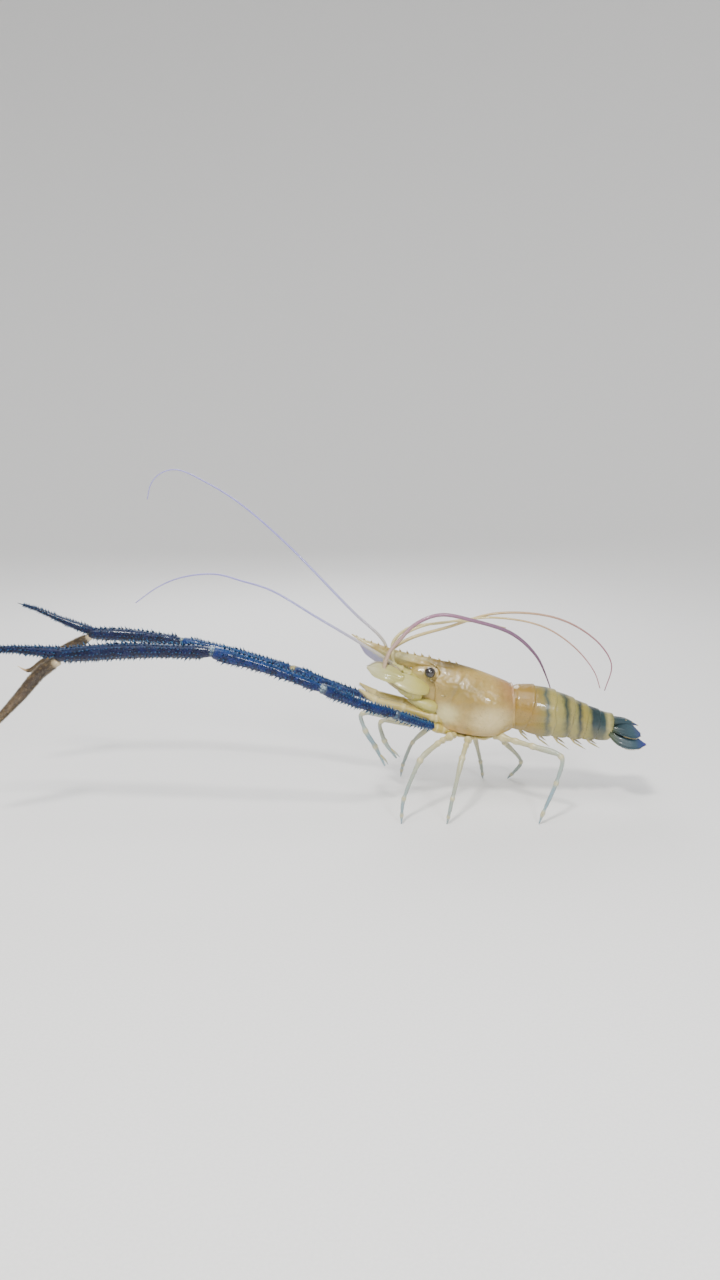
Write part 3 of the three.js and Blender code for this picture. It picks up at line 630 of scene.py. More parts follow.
CHEST = chest_shell()
print("made", CHEST.name)

# %% [markdown]
# ## Materials of the abdomen, fan, claws and limbs
#
# The abdomen is amber in front and turns grey green with dark bands behind, so its colour runs along the
# body. The claws are deep cobalt with a painted highlight of lighter blue along the top edge, which the
# forms' own numbers place, and cream or bluish skin round each joint. The legs run from ivory to pale
# blue. Velvet is the felt of brown hairs on the fingers.

# %% Abdomen and tail fan
def abdomen_shell():
    """The same wet chitin in rings, with dark bands whose edges waver because pigment cells end unevenly."""
    material, tree, mm = new_material("wet_banded_chitin")
    along_x = add_node(tree, "SeparateXYZ", {0: mm})
    wobble = add_node(tree, "TexNoise", {"Vector": mm, "Scale": 0.16, "Detail": 4.0})
    shifted = add_node(tree, "Math", {0: wobble, 1: 5.0, 2: along_x},
                       operation="MULTIPLY_ADD")
    share = add_node(tree, "MapRange", {"Value": shifted, "From Min": 92.0, "From Max": 157.0})
    bands = [(0.0, "#8d7028"), (0.2, "#8a6c24"), (0.31, "#7d7034"), (0.347, "#3c4a44"), (0.385, "#948848"),
             (0.48, "#8a8244"), (0.53, "#1d3029"), (0.58, "#887e48"), (0.63, "#807a42"), (0.665, "#16282a"),
             (0.7, "#8a7d38"), (0.755, "#7c7638"), (0.79, "#13282c"), (0.9, "#1b3436"), (0.945, "#a0965a"),
             (1.0, "#5a5c34")]
    base = add_node(tree, "ValToRGB", {"Fac": share}, bands)
    low = add_node(tree, "Attribute", attribute_name="back", out="Fac")
    under = add_node(tree, "MapRange", {"Value": low, "From Min": 0.1, "From Max": -0.8})
    base = tinted(tree, base, "#9a8e52", scaled_share(tree, under, 0.4))
    base = speckled(tree, mm, base, "#1f2c2c", 0.5)
    close(tree, base, wet_relief(tree, mm, 1.4, 0.2, 0.5), Subsurface_Weight=0.2,
          Subsurface_Scale=2.0 * MM, **CHITIN)
    return material


def fan_shell():
    """Thin dark chitin, slate in the middle and violet at the tips, with a duller shine than the chest."""
    material, tree, mm = new_material("wet_blue_grey_chitin")
    along_x = add_node(tree, "SeparateXYZ", {0: mm})
    share = add_node(tree, "MapRange",
                     {"Value": along_x, "From Min": 152.0, "From Max": 173.0})
    base = add_node(tree, "ValToRGB", {"Fac": share},
                    [(0.0, "#3c4630"), (0.22, "#26363a"), (0.6, "#2e434c"), (0.84, "#2c3668"),
                     (1.0, "#452f8c")])
    base = speckled(tree, mm, base, "#4c6878", 0.4, 0.3)
    close(tree, base, wet_relief(tree, mm, 1.0, 0.3), **DARK_CHITIN)
    return material


ABDOMEN = abdomen_shell()
FAN = fan_shell()
print("made", ABDOMEN.name, "and", FAN.name)


# %% Claw, limb, blade and feeler shell
# Where skin shows at the joints: its colour, and the middle and half lengths of the field in millimetres.
JOINT_PATCHES = [("#a89c5a", (-42.3, 28, 77.5), (6, 7, 5.5)), ("#8d9fa4", (-20.4, -54, 85.5), (5, 5.5, 5)),
                 ("#7f9cb0", (-79.6, -61, 109.5), (4, 5, 3.5)),
                 ("#8a9a94", (-113.7, 34, 94.5), (3.5, 5, 3.5)),
                 ("#a39a52", (-172, 30, 98), (7, 8, 6)), ("#8f9468", (-168, -49, 98.5), (7, 8, 5.5)),
                 ("#a89c62", (45, -8, 49), (9, 7, 7)), ("#a89c62", (45, 8, 47.4), (9, 7, 7)),
                 ("#5f90a4", (-186, -48, 101), (14, 6, 6))]


def ragged_skin(tree, mm, base):
    """Cream or bluish skin that shows round the joints, its edge broken up by dark shell."""
    grain = add_node(tree, "TexNoise", {"Vector": mm, "Scale": 0.9, "Detail": 5.0})
    for code, centre, radii in JOINT_PATCHES:
        inside = region(tree, mm, centre, radii, 0.9)
        ragged = add_node(tree, "Math", {0: grain, 1: inside}, operation="MULTIPLY")
        share = add_node(tree, "MapRange", {"Value": ragged, "From Min": 0.36, "From Max": 0.54})
        base = tinted(tree, base, code, scaled_share(tree, share, 0.85))
    return base


def cobalt_shell(name, deep, blue, edge, low_highlight_share=0.0):
    """Blue claw shell: painted highlights along its top edge and, by a share, its lower edge, and ragged
    cream where skin shows at the joints.
    """
    material, tree, mm = new_material(name)
    drift = add_node(tree, "TexNoise", {"Vector": mm, "Scale": 0.25, "Detail": 5.0})
    base = add_node(tree, "ValToRGB", {"Fac": drift}, [(0.35, deep), (0.65, blue)])
    back = add_node(tree, "Attribute", attribute_name="back", out="Fac")
    # Painted highlight: the upper side, where the light falls, is tinted with the lighter edge colour.
    top = add_node(tree, "MapRange", {"Value": back, "From Min": 0.3, "From Max": 1.0})
    base = tinted(tree, base, edge, scaled_share(tree, top, 0.6))
    # Painted highlight along the lower edge: it is tinted pale blue grey by the given share.
    low = add_node(tree, "MapRange", {"Value": back, "From Min": -0.55, "From Max": -0.9})
    base = tinted(tree, base, "#8b9cae", scaled_share(tree, low, low_highlight_share))
    base = ragged_skin(tree, mm, base)
    base = speckled(tree, mm, base, "#4a76a8", 0.2, 0.35)
    close(tree, base, granular_relief(tree, mm, 0.9, 0.3), **DARK_CHITIN)
    return material


def pale_shell(name, root, middle, tip, reach, cream, specks):
    """Shell of a slender limb whose colour runs from its root to its tip, cream at the joints."""
    material, tree, mm = new_material(name)
    along = add_node(tree, "Attribute", attribute_name="along", out="Fac")
    share = add_node(tree, "MapRange", {"Value": along, "From Min": 0.0, "From Max": reach})
    base = add_node(tree, "ValToRGB", {"Fac": share}, [(0.0, root), (0.35, middle), (1.0, tip)])
    joint = add_node(tree, "Attribute", attribute_name="joint", out="Fac")
    base = tinted(tree, base, cream, scaled_share(tree, joint, 0.8))
    base = speckled(tree, mm, base, specks, 0.4, 0.3)
    close(tree, base, wet_relief(tree, mm, 0.8, 0.12), Subsurface_Weight=0.2,
          Subsurface_Scale=1.5 * MM, **CHITIN)
    return material


# The third colour of each claw shell is the painted highlight along its top edge.
COBALT = cobalt_shell("cobalt_chitin", "#020a2c", "#05205c", "#0a3f70")
# This shell also has a painted highlight along its lower edge.
COBALT_EDGE_HIGHLIGHTS = cobalt_shell("cobalt_chitin_edge_highlights", "#04103a", "#0a2a5e", "#2c5f86", 0.8)
NAVY = cobalt_shell("navy_chitin", "#01031a", "#040e3c", "#062448")
LEG = pale_shell("ivory_blue_chitin", "#b3a468", "#aea985", "#7f97a0", 66.0, "#c4b98c", "#5c6a5c")
MOUTH = pale_shell("cream_chitin", "#aa9644", "#b09d4e", "#bdae72", 50.0, "#cbbd84", "#7d6a34")
BLADE = pale_shell("milky_chitin", "#9c944c", "#a8a468", "#a5a48c", 30.0, "#b3ae78", "#6f6c48")
FAR_BLADE = pale_shell("milky_lilac_chitin", "#a39c6a", "#9f9fb4", "#9490bc", 30.0, "#b4b2b0", "#6a6c8c")
PEDUNCLE = pale_shell("green_cream_chitin", "#a39848", "#b0a85c", "#b8b280", 24.0, "#bdb27c", "#5f5828")
print("made the limb shells")


# %% Feeler, spine, velvet, membrane and eye
def feeler_shell(name, root, middle, tip, reach, ring=0.9):
    """The whip of a feeler is a row of short rings, about 0.9 mm each, every joint a little darker."""
    material, tree, mm = new_material(name)
    along = add_node(tree, "Attribute", attribute_name="along", out="Fac")
    share = add_node(tree, "MapRange", {"Value": along, "From Min": 0.0, "From Max": reach})
    base = add_node(tree, "ValToRGB", {"Fac": share}, [(0.0, root), (0.5, middle), (1.0, tip)])
    turns = add_node(tree, "Math", {0: along, 1: math.tau / ring}, operation="MULTIPLY")
    wave = add_node(tree, "Math", {0: turns}, operation="SINE")
    line = add_node(tree, "MapRange", {"Value": wave, "From Min": 0.6, "From Max": 1.0})
    base = tinted(tree, base, "#6a5560", scaled_share(tree, line, 0.45))
    rings = add_node(tree, "Bump", {"Strength": 0.6, "Distance": 0.1 * MM, "Height": wave})
    close(tree, base, rings, **CHITIN)
    return material


def spine_horn_and_glint(name, root, tip, finish=CHITIN):
    """A spine: dark at its root and pale at its tip, partly clear horn and partly a painted glint of light.
    """
    material, tree, mm = new_material(name)
    share = add_node(tree, "Attribute", attribute_name="tip", out="Fac")
    # The pale tip is partly the clear horn and partly a painted glint where light catches each spine.
    base = add_node(tree, "ValToRGB", {"Fac": share}, [(0.25, root), (0.9, tip)])
    close(tree, base, **finish)
    return material


def velvet_felt(name, root, tip):
    """Short hairs of chitin: matt, with a soft light edge where they are seen from the side."""
    material, tree, mm = new_material(name)
    share = add_node(tree, "Attribute", attribute_name="tip", out="Fac")
    base = add_node(tree, "ValToRGB", {"Fac": share}, [(0.0, root), (0.9, tip)])
    clouds = add_node(tree, "TexNoise", {"Vector": mm, "Scale": 0.5, "Detail": 3.0})
    light = add_node(tree, "MapRange", {"Value": clouds, "From Min": 0.52, "From Max": 0.72})
    base = tinted(tree, base, "#b89c68", scaled_share(tree, light, 0.65))
    close(tree, base, Roughness=0.75, Sheen_Weight=0.35, Sheen_Roughness=0.4, IOR=1.5)
    return material


print("the feeler, spine and velvet finishes are ready")


# %% Membrane, cornea and the small materials
def joint_membrane():
    """The soft skin in a joint: dark blue, milky in places, wet and a little rough."""
    material, tree, mm = new_material("milky_joint_membrane")
    drift = add_node(tree, "TexNoise", {"Vector": mm, "Scale": 0.7, "Detail": 4.0})
    base = add_node(tree, "ValToRGB", {"Fac": drift}, [(0.4, "#081a38"), (0.85, "#3c5c74")])
    base = ragged_skin(tree, mm, base)
    close(tree, base, wet_relief(tree, mm, 0.5, 0.2), Subsurface_Weight=0.3, **CHITIN)
    return material


def cornea():
    """The cornea over the eye's facets: near black brown, very smooth and wet."""
    material, tree, mm = new_material("wet_dark_cornea")
    facets = add_node(tree, "TexVoronoi", {"Vector": mm, "Scale": 6.0})
    base = add_node(tree, "ValToRGB", {"Fac": facets}, [(0.0, "#2b211c"), (0.8, "#15100e")])
    relief = add_node(tree, "Bump", {"Strength": 0.15, "Distance": 0.03 * MM, "Height": facets})
    close(tree, base, relief, Roughness=0.12, IOR=1.5, Coat_Weight=1.0, Coat_Roughness=0.03)
    return material


FORE_WHIP = feeler_shell("lilac_feeler_chitin", "#bab389", "#a09fd0", "#8f8acb", 110.0)
BACK_WHIP = feeler_shell("cream_feeler_chitin", "#c8bd82", "#c8b678", "#a8646c", 150.0)
LONG_WHIP = feeler_shell("rose_feeler_chitin", "#c6ba80", "#c2aa74", "#96586a", 170.0)
MAUVE_WHIP = feeler_shell("mauve_feeler_chitin", "#c0b27a", "#93667c", "#75506e", 110.0)
BLUE_SPINES = spine_horn_and_glint("cobalt_spine_chitin", "#020a28", "#2d6fa0", DARK_CHITIN)
CREAM_SPINES = spine_horn_and_glint("cream_tooth_chitin", "#857038", "#cfc08c")
VELVET = velvet_felt("brown_velvet_setae", "#241b10", "#5e4d2f")
FRINGE = velvet_felt("pale_setae", "#7d7248", "#b8ab78")
MEMBRANE = joint_membrane()
CORNEA = cornea()
print("made the small materials")

# %% [markdown]
# ## Chest shell
#
# The carapace is one hard shield with a low crest, a groove across each cheek, a raised rim behind and a
# lower edge that hangs free beside the legs. It could be sculpted from a sphere. A ringed cylinder is
# better here, because each ring is one section of the body, so the outline follows the frame's own sections
# and each groove is a small change of the section's radius.

# %% Chest shell: the form
CHEST_X = smooth([45, 57, 69, 81, 92.5])
CHEST_TOP = smooth([87.5, 85.6, 82.6, 78.6, 74.2])
CHEST_BOTTOM = smooth([50, 46.5, 44.5, 44.6, 49])
CHEST_WIDTH = smooth([19, 27, 32, 32, 26.5])
CREST = 2.2
# The angle from the crest at which the wall turns up under the body, and how deep the hollow is.
LOWER_EDGE = 2.5
HOLLOW = 6.0


def chest_base(t, angle, reach=1.0):
    """A point of the shield before its grooves. Past the lower edge the wall turns up into a hollow."""
    top, bottom = CHEST_TOP(t), CHEST_BOTTOM(t)
    a = abs(angle)
    middle, half_height = (top + bottom) / 2, (top - bottom) / 2
    if a <= math.pi / 2:
        high, wide = math.cos(a), math.sin(a)
        across = (1 - 0.2 * high ** 1.5) * wide ** 0.86
        up = high ** 0.92
    else:
        s = min((a - math.pi / 2) / (LOWER_EDGE - math.pi / 2), 1.0)
        inner = max((a - LOWER_EDGE) / (math.pi - LOWER_EDGE), 0.0)
        across = (1 - 0.3 * s ** 2.2) * (1 - inner)
        up = -math.sin(s * math.pi / 2)
        middle += HOLLOW * ease(inner, 0.0, 0.3) * ease(t, 0.0, 0.1) * ease(t, 1.0, 0.9) * reach
    crest = CREST * (1 - t) * hump(angle, 0, 0.3)
    half = CHEST_WIDTH(t) / 2 * math.copysign(across, angle)
    return Vector((CHEST_X(t) + (1 - math.cos(a)) * 0.6 * (t - 0.4), reach * half,
                   middle + reach * (up * half_height + crest)))


print("the shield is", CHEST_X(1) - CHEST_X(0), "mm long from eye to rear rim")


# %% Chest shell: grooves and rims
def chest_relief(t, a):
    """How far the surface stands out at a place: rims, grooves and swellings of the shell."""
    rim = 0.55 * hump(t, 0.985, 0.014) - 0.5 * hump(t, 0.945, 0.014)
    neck_groove = -0.75 * hump(t, 0.47 - 0.17 * a, 0.016) * ease(a, 0.2, 0.45) * ease(a, 2.1, 1.8)
    gill_groove = (-0.45 * hump(a, 0.82 + 0.1 * math.sin(5 * t), 0.05)
                   * ease(t, 0.42, 0.55) * ease(t, 0.97, 0.9))
    cheek_hollow = -0.9 * hump(t, 0.24, 0.09) * hump(a, 1.42, 0.2)
    gill_swelling = 0.8 * hump(t, 0.68, 0.2) * hump(a, 1.5, 0.5)
    cheek_ridge = 0.9 * hump(a, 1.12 + 0.5 * t, 0.05) * ease(t, 0.24, 0.02)
    brow_ridge = 0.8 * hump(a, 0.5, 0.055) * ease(t, 0.34, 0.05)
    low_rim = 0.4 * hump(a, 2.4, 0.07) - 0.4 * hump(a, 2.22, 0.06)
    return (rim + neck_groove + gill_groove + cheek_hollow + gill_swelling + cheek_ridge + brow_ridge
            + low_rim * ease(t, 0.02, 0.1))


def chest_surface(t, angle, reach=1.0):
    p = chest_base(t, angle, reach)
    if reach == 0:
        return p
    a = abs(angle)
    axis = chest_base(t, angle, 0.0)
    p = p + (p - axis).normalized() * (chest_relief(t, a) - 0.35)
    front = 1 - ease(t, 0, 0.2)
    p.x += front * (3.2 * hump(a, 0.74, 0.24) - 1.4 * hump(a, 1.12, 0.1) + 2.6 * ease(a, 1.7, 2.3))
    forward = front ** 2 * 7.5 * hump(a, 0, 0.3)
    p.x -= forward
    p.y *= 1 - 0.5 * min(forward / 7.5, 1.0)
    p.z += 0.12 * forward
    return p


def chest_forwards(t, angle, reach=1.0):
    """The shield read from its rear edge to its front, so that what leans along it leans forward."""
    return chest_surface(1 - t, angle, reach)


chest = formed("chest_shell_form", chest_surface, 84, 64, 1)
print("the shell has", len(chest.data.vertices), "points")

# %% [markdown]
# ## Rostrum
#
# The rostrum is the saw over the eyes: a thin blade with a rib along each side and teeth on both edges. The
# blade is a limb with a narrow, lens-shaped section. The teeth are copies of one bent tooth, biggest over
# the eyes, that all lean forward.

# %% Rostrum and teeth
ROSTRUM_LINE = [(60, 0, 83.6), (45, 0, 85.4), (27, 0, 89.4), (10, 0, 95.6), (-5, 0, 104.6)]
ROSTRUM_HEIGHT = smooth([1.6, 4.2, 4.0, 3.1, 0.35])
ROSTRUM_WIDTH = smooth([1.2, 2.6, 1.5, 0.85, 0.25])
rostrum_line = smooth_line(ROSTRUM_LINE)


def rostrum_surface(t, angle, reach=1.0):
    at, ahead = rostrum_line(t)
    lift = Vector((0, 1, 0)).cross(ahead) * -1
    if lift.z < 0:
        lift.negate()
    high, wide = math.cos(angle), math.sin(angle)
    lens = 0.22 * abs(wide) + 0.6 * (1 - abs(high)) ** 0.9 + 0.42 * hump(high, -0.05, 0.16)
    side = math.copysign(lens, wide) if abs(wide) > 1e-6 else 0.0
    return at + Vector((0, reach * ROSTRUM_WIDTH(t) * side, 0)) + lift * (reach * ROSTRUM_HEIGHT(t) * high)


blade = formed("rostrum_form", rostrum_surface, 28, 60, 1)
teeth = []
for i in range(11):
    t = 0.27 + 0.68 * i / 10
    size = 1 - 0.45 * i / 10
    teeth.append(standing(rostrum_surface, t, 0.0, 2.5 * size, 1.15 * size, 0.55, 0.5, flat=0.42))
for i in range(11):
    t = 0.42 + 0.54 * i / 10
    size = 0.85 - 0.4 * i / 10
    teeth.append(standing(rostrum_surface, t, math.pi, 2.1 * size, 0.9 * size, 0.6, 0.4, flat=0.42))
for i in range(4):
    teeth.append(standing(chest_forwards, 0.975 - 0.085 * i, 0.0, 1.9, 1.0, 0.6, 0.4, flat=0.5))
teeth_piece = scattered("rostrum_teeth", TOOTH, teeth)
dress(joined("carapace_and_rostrum", [chest, blade]), CHEST, "shell", "carapace", "rostrum")
dress(teeth_piece, CREAM_SPINES, "shell")

# %% [markdown]
# ## Cheek spines, head and eyes
#
# Two sharp spines stand on each cheek, and a smaller one beside the eye. In front of the shield a soft
# block carries the mouth, the feelers and the stalked eyes. Each eye is a UV sphere pulled a little long
# and pressed on its stalk, with a lid-like rim where the stalk's shell ends.

# %% Cheek spines and head
cheek = []
for t, a, size in [(0.02, 1.13, 3.2), (0.14, 1.5, 3.0), (0.0, 0.5, 1.4)]:
    for sign in (-1, 1):
        cheek.append(standing(chest_forwards, 1 - t, sign * a, size, 0.8, 0.78, 0.5))
dress(scattered("cheek_spines", TOOTH, cheek), CREAM_SPINES, "shell")

HEAD_TOP, HEAD_BOTTOM, HEAD_WIDTH = smooth([85, 86.5, 87]), smooth([66, 56, 53]), smooth([10, 14.5, 17])


def head_surface(t, angle, reach=1.0):
    x = 29 + 19 * t
    high, wide = math.cos(angle), math.sin(angle)
    half = (HEAD_TOP(t) - HEAD_BOTTOM(t)) / 2
    folds = 1 + 0.05 * math.sin(9 * angle + 6 * t) * ease(-high, -0.2, 0.6) * ease(t, 0.0, 0.3)
    round_front = math.sqrt(max(1 - (1 - min(t / 0.3, 1)) ** 2, 0.0)) * 0.6 + 0.4
    return Vector((x, reach * HEAD_WIDTH(t) / 2 * wide * folds * round_front,
                   (HEAD_TOP(t) + HEAD_BOTTOM(t)) / 2 + reach * half * high * folds * round_front))


dress(formed("head_block_form", head_surface, 40, 16, 1, 17.0), CHEST, "shell", "head_block")

# %% Eyes and stalks
EYE = (41.6, 9.4, 83.0)
EYE_RADIUS = 3.35


def eye_and_stalk(sign, side):
    centre = Vector((EYE[0], EYE[1] * sign, EYE[2]))
    root = Vector((42.4, 3.2 * sign, 78.4))
    outward = (centre - root).normalized()
    stalk_surface = limb_surface([root, root.lerp(centre, 0.5), centre + outward * 0.2],
                                 [2.3, 1.95, 1.9, 2.2, 3.0, 3.15])
    stalk = formed("stalk_form", stalk_surface, 24, 14, 1, stalk_surface.length)
    dress(joined(f"eye_stalk_{side}", [stalk]), PEDUNCLE, "limb")
    deselect()
    bpy.ops.mesh.primitive_uv_sphere_add(segments=40, ring_count=24, radius=1, location=(0, 0, 0))
    eye = bpy.context.object
    eye.name = eye.data.name = f"eye_{side}_cornea"
    turn = outward.to_track_quat("Z", "Y").to_matrix()
    for v in eye.data.vertices:
        p = Vector((v.co.x, v.co.y, v.co.z * (1.02 if v.co.z > 0 else 0.7)))
        v.co = place_mm(centre + outward * 0.25 + turn @ p * EYE_RADIUS)
    bpy.ops.object.shade_smooth()
    dress(eye, CORNEA, "eye", f"eye_{side}")


for sign, side in ((-1, "left"), (1, "right")):
    eye_and_stalk(sign, side)

# %% [markdown]
# ## Feelers and their bases
#
# In front of the head sit two jointed stalks, each with a whip that reaches forward and one that curls
# back, and below them the bases of the two longest feelers, each with a broad blade beside it. A whip could
# be a bevelled curve, but a curve gives no points along it for the ring colours, so each is a thin ringed
# limb.

# %% Antennule stalks and antenna bases
def at_side(points, sign):
    return [(x, y * sign, z) for x, y, z in points]


def limb(name, surface, sides=16, rings=24, smoothing=1, joints=(), joint_width=0.03):
    return formed(name, surface, sides, rings, smoothing, surface.length, joints, joint_width)


SIDES = ((-1, "left"), (1, "right"))
SCALE_FACES = {"left": (0, -0.8, 0.6), "right": (0, 0.8, 0.6)}
for sign, side in SIDES:
    stalk = limb_surface(at_side([(33, 3.4, 77.4), (27, 3.8, 82.4), (19, 4.2, 87.8)], sign),
                         [3.3, 3.1, 2.6, 2.9, 2.5, 1.9, 2.3, 1.9, 1.4, 1.6, 1.45])
    stalk_form = limb("stalk_form", stalk, 22, 40, 1, (0.33, 0.62, 0.97), 0.035)
    spur = limb_surface(at_side([(32.5, 5.2, 78.2), (28.5, 6.8, 81), (25.5, 7.2, 84)], sign),
                        [1.3, 0.9, 0.15], [0.5, 0.4, 0.1])
    dress(joined(f"antennule_{side}_stalk", [stalk_form, limb("spur_form", spur, 12, 10)]), PEDUNCLE, "limb",
          f"antennule_{side}")
    base = limb_surface(at_side([(36, 6.2, 69.5), (30, 8.4, 70.5), (23, 9, 73.4)], sign),
                        [4.3, 4.7, 4.6, 4.3, 3.8, 3.6, 3.2, 2.7, 2.3, 1.7])
    ringed_base = carved(base, lambda t, angle: (
        1 - 0.13 * hump(t, 0.4, 0.03) - 0.13 * hump(t, 0.7, 0.03) + 0.05 * hump(t, 0.35, 0.03)))
    plate = limb_surface(at_side([(41, 7.4, 72), (33, 9.6, 75), (25, 10.6, 78.6), (17, 10.8, 82)], sign),
                         [3.4, 5.0, 5.6, 5.2, 4.2, 2.4], [1.6, 1.5, 1.3, 1.1, 0.8, 0.5], SCALE_FACES[side])
    ribbed_plate = carved(plate, lambda t, angle: (
        1 + 0.16 * hump(math.sin(angle), 0.35, 0.12) - 0.12 * hump(math.sin(angle), -0.2, 0.1)))
    jaw = limb_surface(at_side([(46, 6.6, 60.5), (38, 6.8, 63), (29, 6.2, 66.5)], sign),
                       [4.4, 4.8, 4.2, 3.0, 1.6], [4.0, 4.2, 3.6, 2.6, 1.4])
    forms = [formed("base_form", ringed_base, 30, 40, 1, base.length, (0.4, 0.7), 0.03),
             formed("plate_form", ribbed_plate, 36, 26, 1, plate.length), limb("jaw_form", jaw, 24, 18)]
    dress(joined(f"antenna_base_{side}_form", forms), PEDUNCLE, "limb", f"antenna_base_{side}")

# %% [markdown]
# ## Antennal scales
#
# On the animal each scale is a broad thin blade with a rib, a straight thick outer edge that ends in a
# tooth, and a long fringe of hairs round its inner edge. Here it is a limb with a very flat section, ridged
# along its length. The tooth is left out, because it does not show in the photograph.

# %% Antennal scales
SCALE_LINE = {"left": [(26, -10.2, 79.6), (16, -11.4, 83.6), (4, -11, 87)],
              "right": [(26, 10.2, 79.8), (14, 11, 87.4), (0, 10.6, 96.4)]}
SCALE_HAIRS = 340
for sign, side in SIDES:
    line = smooth_line(SCALE_LINE[side])
    half_width = smooth([2.6, 4.7, 5.4, 5.2, 4.2, 0.6])
    half_thickness = smooth([1.2, 0.7, 0.5, 0.4, 0.3, 0.12])

    def scale_surface(t, angle, reach=1.0):
        at, ahead = line(t)
        side_way = ahead.cross(Vector(SCALE_FACES[side])).normalized()
        lift = side_way.cross(ahead)
        wide, high = math.sin(angle), math.cos(angle)
        ribs = (1 + 0.5 * hump(wide, 0.25, 0.1) + 0.9 * hump(wide, -sign * 0.93, 0.08)
                + 0.25 * math.sin(24 * wide))
        bowl = -0.7 * (wide * reach) ** 2
        return (at + side_way * (reach * half_width(t) * wide)
                + lift * (reach * half_thickness(t) * high * ribs + bowl))

    blade = formed(f"antennal_scale_{side}_blade", scale_surface, 56, 44, 1, line.length)
    dress(blade, BLADE if side == "left" else FAR_BLADE, "feeler_scale", f"antennal_scale_{side}")
    fringe = []
    random.seed(31)
    for i in range(SCALE_HAIRS):
        t = 0.12 + 0.86 * i / (SCALE_HAIRS - 1)
        inner = math.pi / 2 if sign < 0 else -math.pi / 2
        at_edge = inner + random.uniform(-0.12, 0.12)
        fringe.append(standing(scale_surface, t, at_edge, 2.6 * (1.1 - 0.4 * t), 0.07, 0.45, 0.2))
    dress(scattered(f"antennal_scale_{side}_fringe", HAIR, fringe), FRINGE, "feeler_scale")

# %% Whips
WHIPS = {
    "fore_feeler_left": [(21, -4.1, 86.6), (18.4, -4.6, 88.6), (-1.2, -7, 101.5), (-25.3, -9, 116.5),
                         (-52, -11, 133), (-68.3, -12, 138.5), (-84, -13, 142.7), (-102.7, -14, 141),
                         (-116.4, -14, 135.6), (-130.3, -14, 126.1)],
    "fore_feeler_right": [(21, 4.1, 86.6), (18.4, 4.6, 88.8), (14, 6, 99.5), (-4, 8, 116.6),
                          (-44.7, 10, 158.4), (-71.5, 12, 181.5), (-90.1, 13, 193.2), (-108.9, 14, 201.3),
                          (-118.6, 14, 199), (-124.2, 14, 193.2), (-127, 14, 183.8)],
    "back_feeler_left": [(20.4, -4.1, 86.8), (19.6, -3.6, 90.4), (20.5, -3.4, 98.4), (28, -3.2, 106),
                         (42, -2.4, 111.2), (58, -1, 112.6), (74, 1.5, 111.4), (88, 4, 107.6)],
    "back_feeler_right": [(20.4, 4.1, 86.8), (19.6, 3.6, 90.6), (20, 5, 98.5), (29, 8, 106.4),
                          (50, 10, 109.6), (82, 12, 112.4), (112, 13, 106.6), (132, 13, 93.6),
                          (145, 13, 78), (149, 13, 67.6)],
    "antenna_left": [(26, -8.8, 72.2), (21.6, -9.2, 74.6), (14.5, -9.6, 82), (17, -9, 94.5),
                     (24.5, -8.5, 104), (33, -8, 112.4), (47, -7, 117.6), (68, -4, 113.4), (92, 3, 104),
                     (108, 10, 89), (117, 17, 72), (120, 18.4, 64)],
    "antenna_right": [(26, 8.8, 72.2), (21.6, 9.2, 74.8), (15, 9.6, 83), (19, 9.6, 92.5), (30, 10, 99.6),
                      (54, 12, 106.6), (82, 14, 114.5), (114, 16, 113), (134, 17, 105.6), (150, 17, 93),
                      (156.5, 17, 81), (153, 17, 65)],
}
WHIP_LOOKS = {"fore": ([1.05, 0.8, 0.62, 0.48, 0.28], FORE_WHIP, (0, 0, 1)),
              "back": ([1.05, 0.85, 0.65, 0.5, 0.28], BACK_WHIP, (0, 1, 0)),
              "antenna_left": ([1.5, 1.15, 1.15, 1.1, 0.35], MAUVE_WHIP, (0, 1, 0)),
              "antenna": ([1.5, 1.05, 0.8, 0.6, 0.32], LONG_WHIP, (0, 1, 0))}
for name, points in WHIPS.items():
    radii, material, up = WHIP_LOOKS.get(name) or WHIP_LOOKS[name.split("_")[0]]
    surface = limb_surface(points, radii, up=up)
    dress(limb(f"{name}_whip", surface, 10, 150, 0), material, "feeler", name)

# %% [markdown]
# ## Abdomen
#
# Six rings cover the abdomen. Each one slides under the ring in front, and the second ring's side plates
# lie over those of both its neighbours, which is the mark of this group of shrimps. Each ring is a short
# form on the body's own line. It swells towards its rear edge, ends in a thin rounded lip over the next,
# and its side plates hang below the belly.

# %% Abdomen rings
ABDOMEN_LINE = smooth_line([(92.8, 0, 60.2), (106, 0, 58), (120, 0, 54.4), (134, 0, 50.6), (146, 0, 48),
                            (153, 0, 47)])
ABDOMEN_DEPTH = smooth([13.6, 14.4, 13.9, 12, 9.8, 7.9])
ABDOMEN_WIDTH = smooth([13, 13.6, 13, 11, 8.8, 6.8])
SPLITS = [0, 0.14, 0.34, 0.54, 0.69, 0.82, 1]
SWEEPS = [0, -0.05, 0.05, 0.035, 0.03, 0.02, 0]
LAP = 2.6


def abdomen_point(along, angle, reach, grow=1.0):
    s = min(max(along, 0.0), 1.0)
    at, ahead = ABDOMEN_LINE(s)
    lift = Vector((-ahead.z, 0, ahead.x))
    high, wide = math.cos(angle), math.sin(angle)
    flap = 1 - 0.1 * high * high if high < 0 else 1
    across = ABDOMEN_WIDTH(s) * flap * math.copysign(abs(wide) ** 0.9, wide)
    return (at + ahead * ((along - s) * ABDOMEN_LINE.length) + Vector((0, reach * grow * across, 0))
            + lift * (reach * grow * ABDOMEN_DEPTH(s) * high))


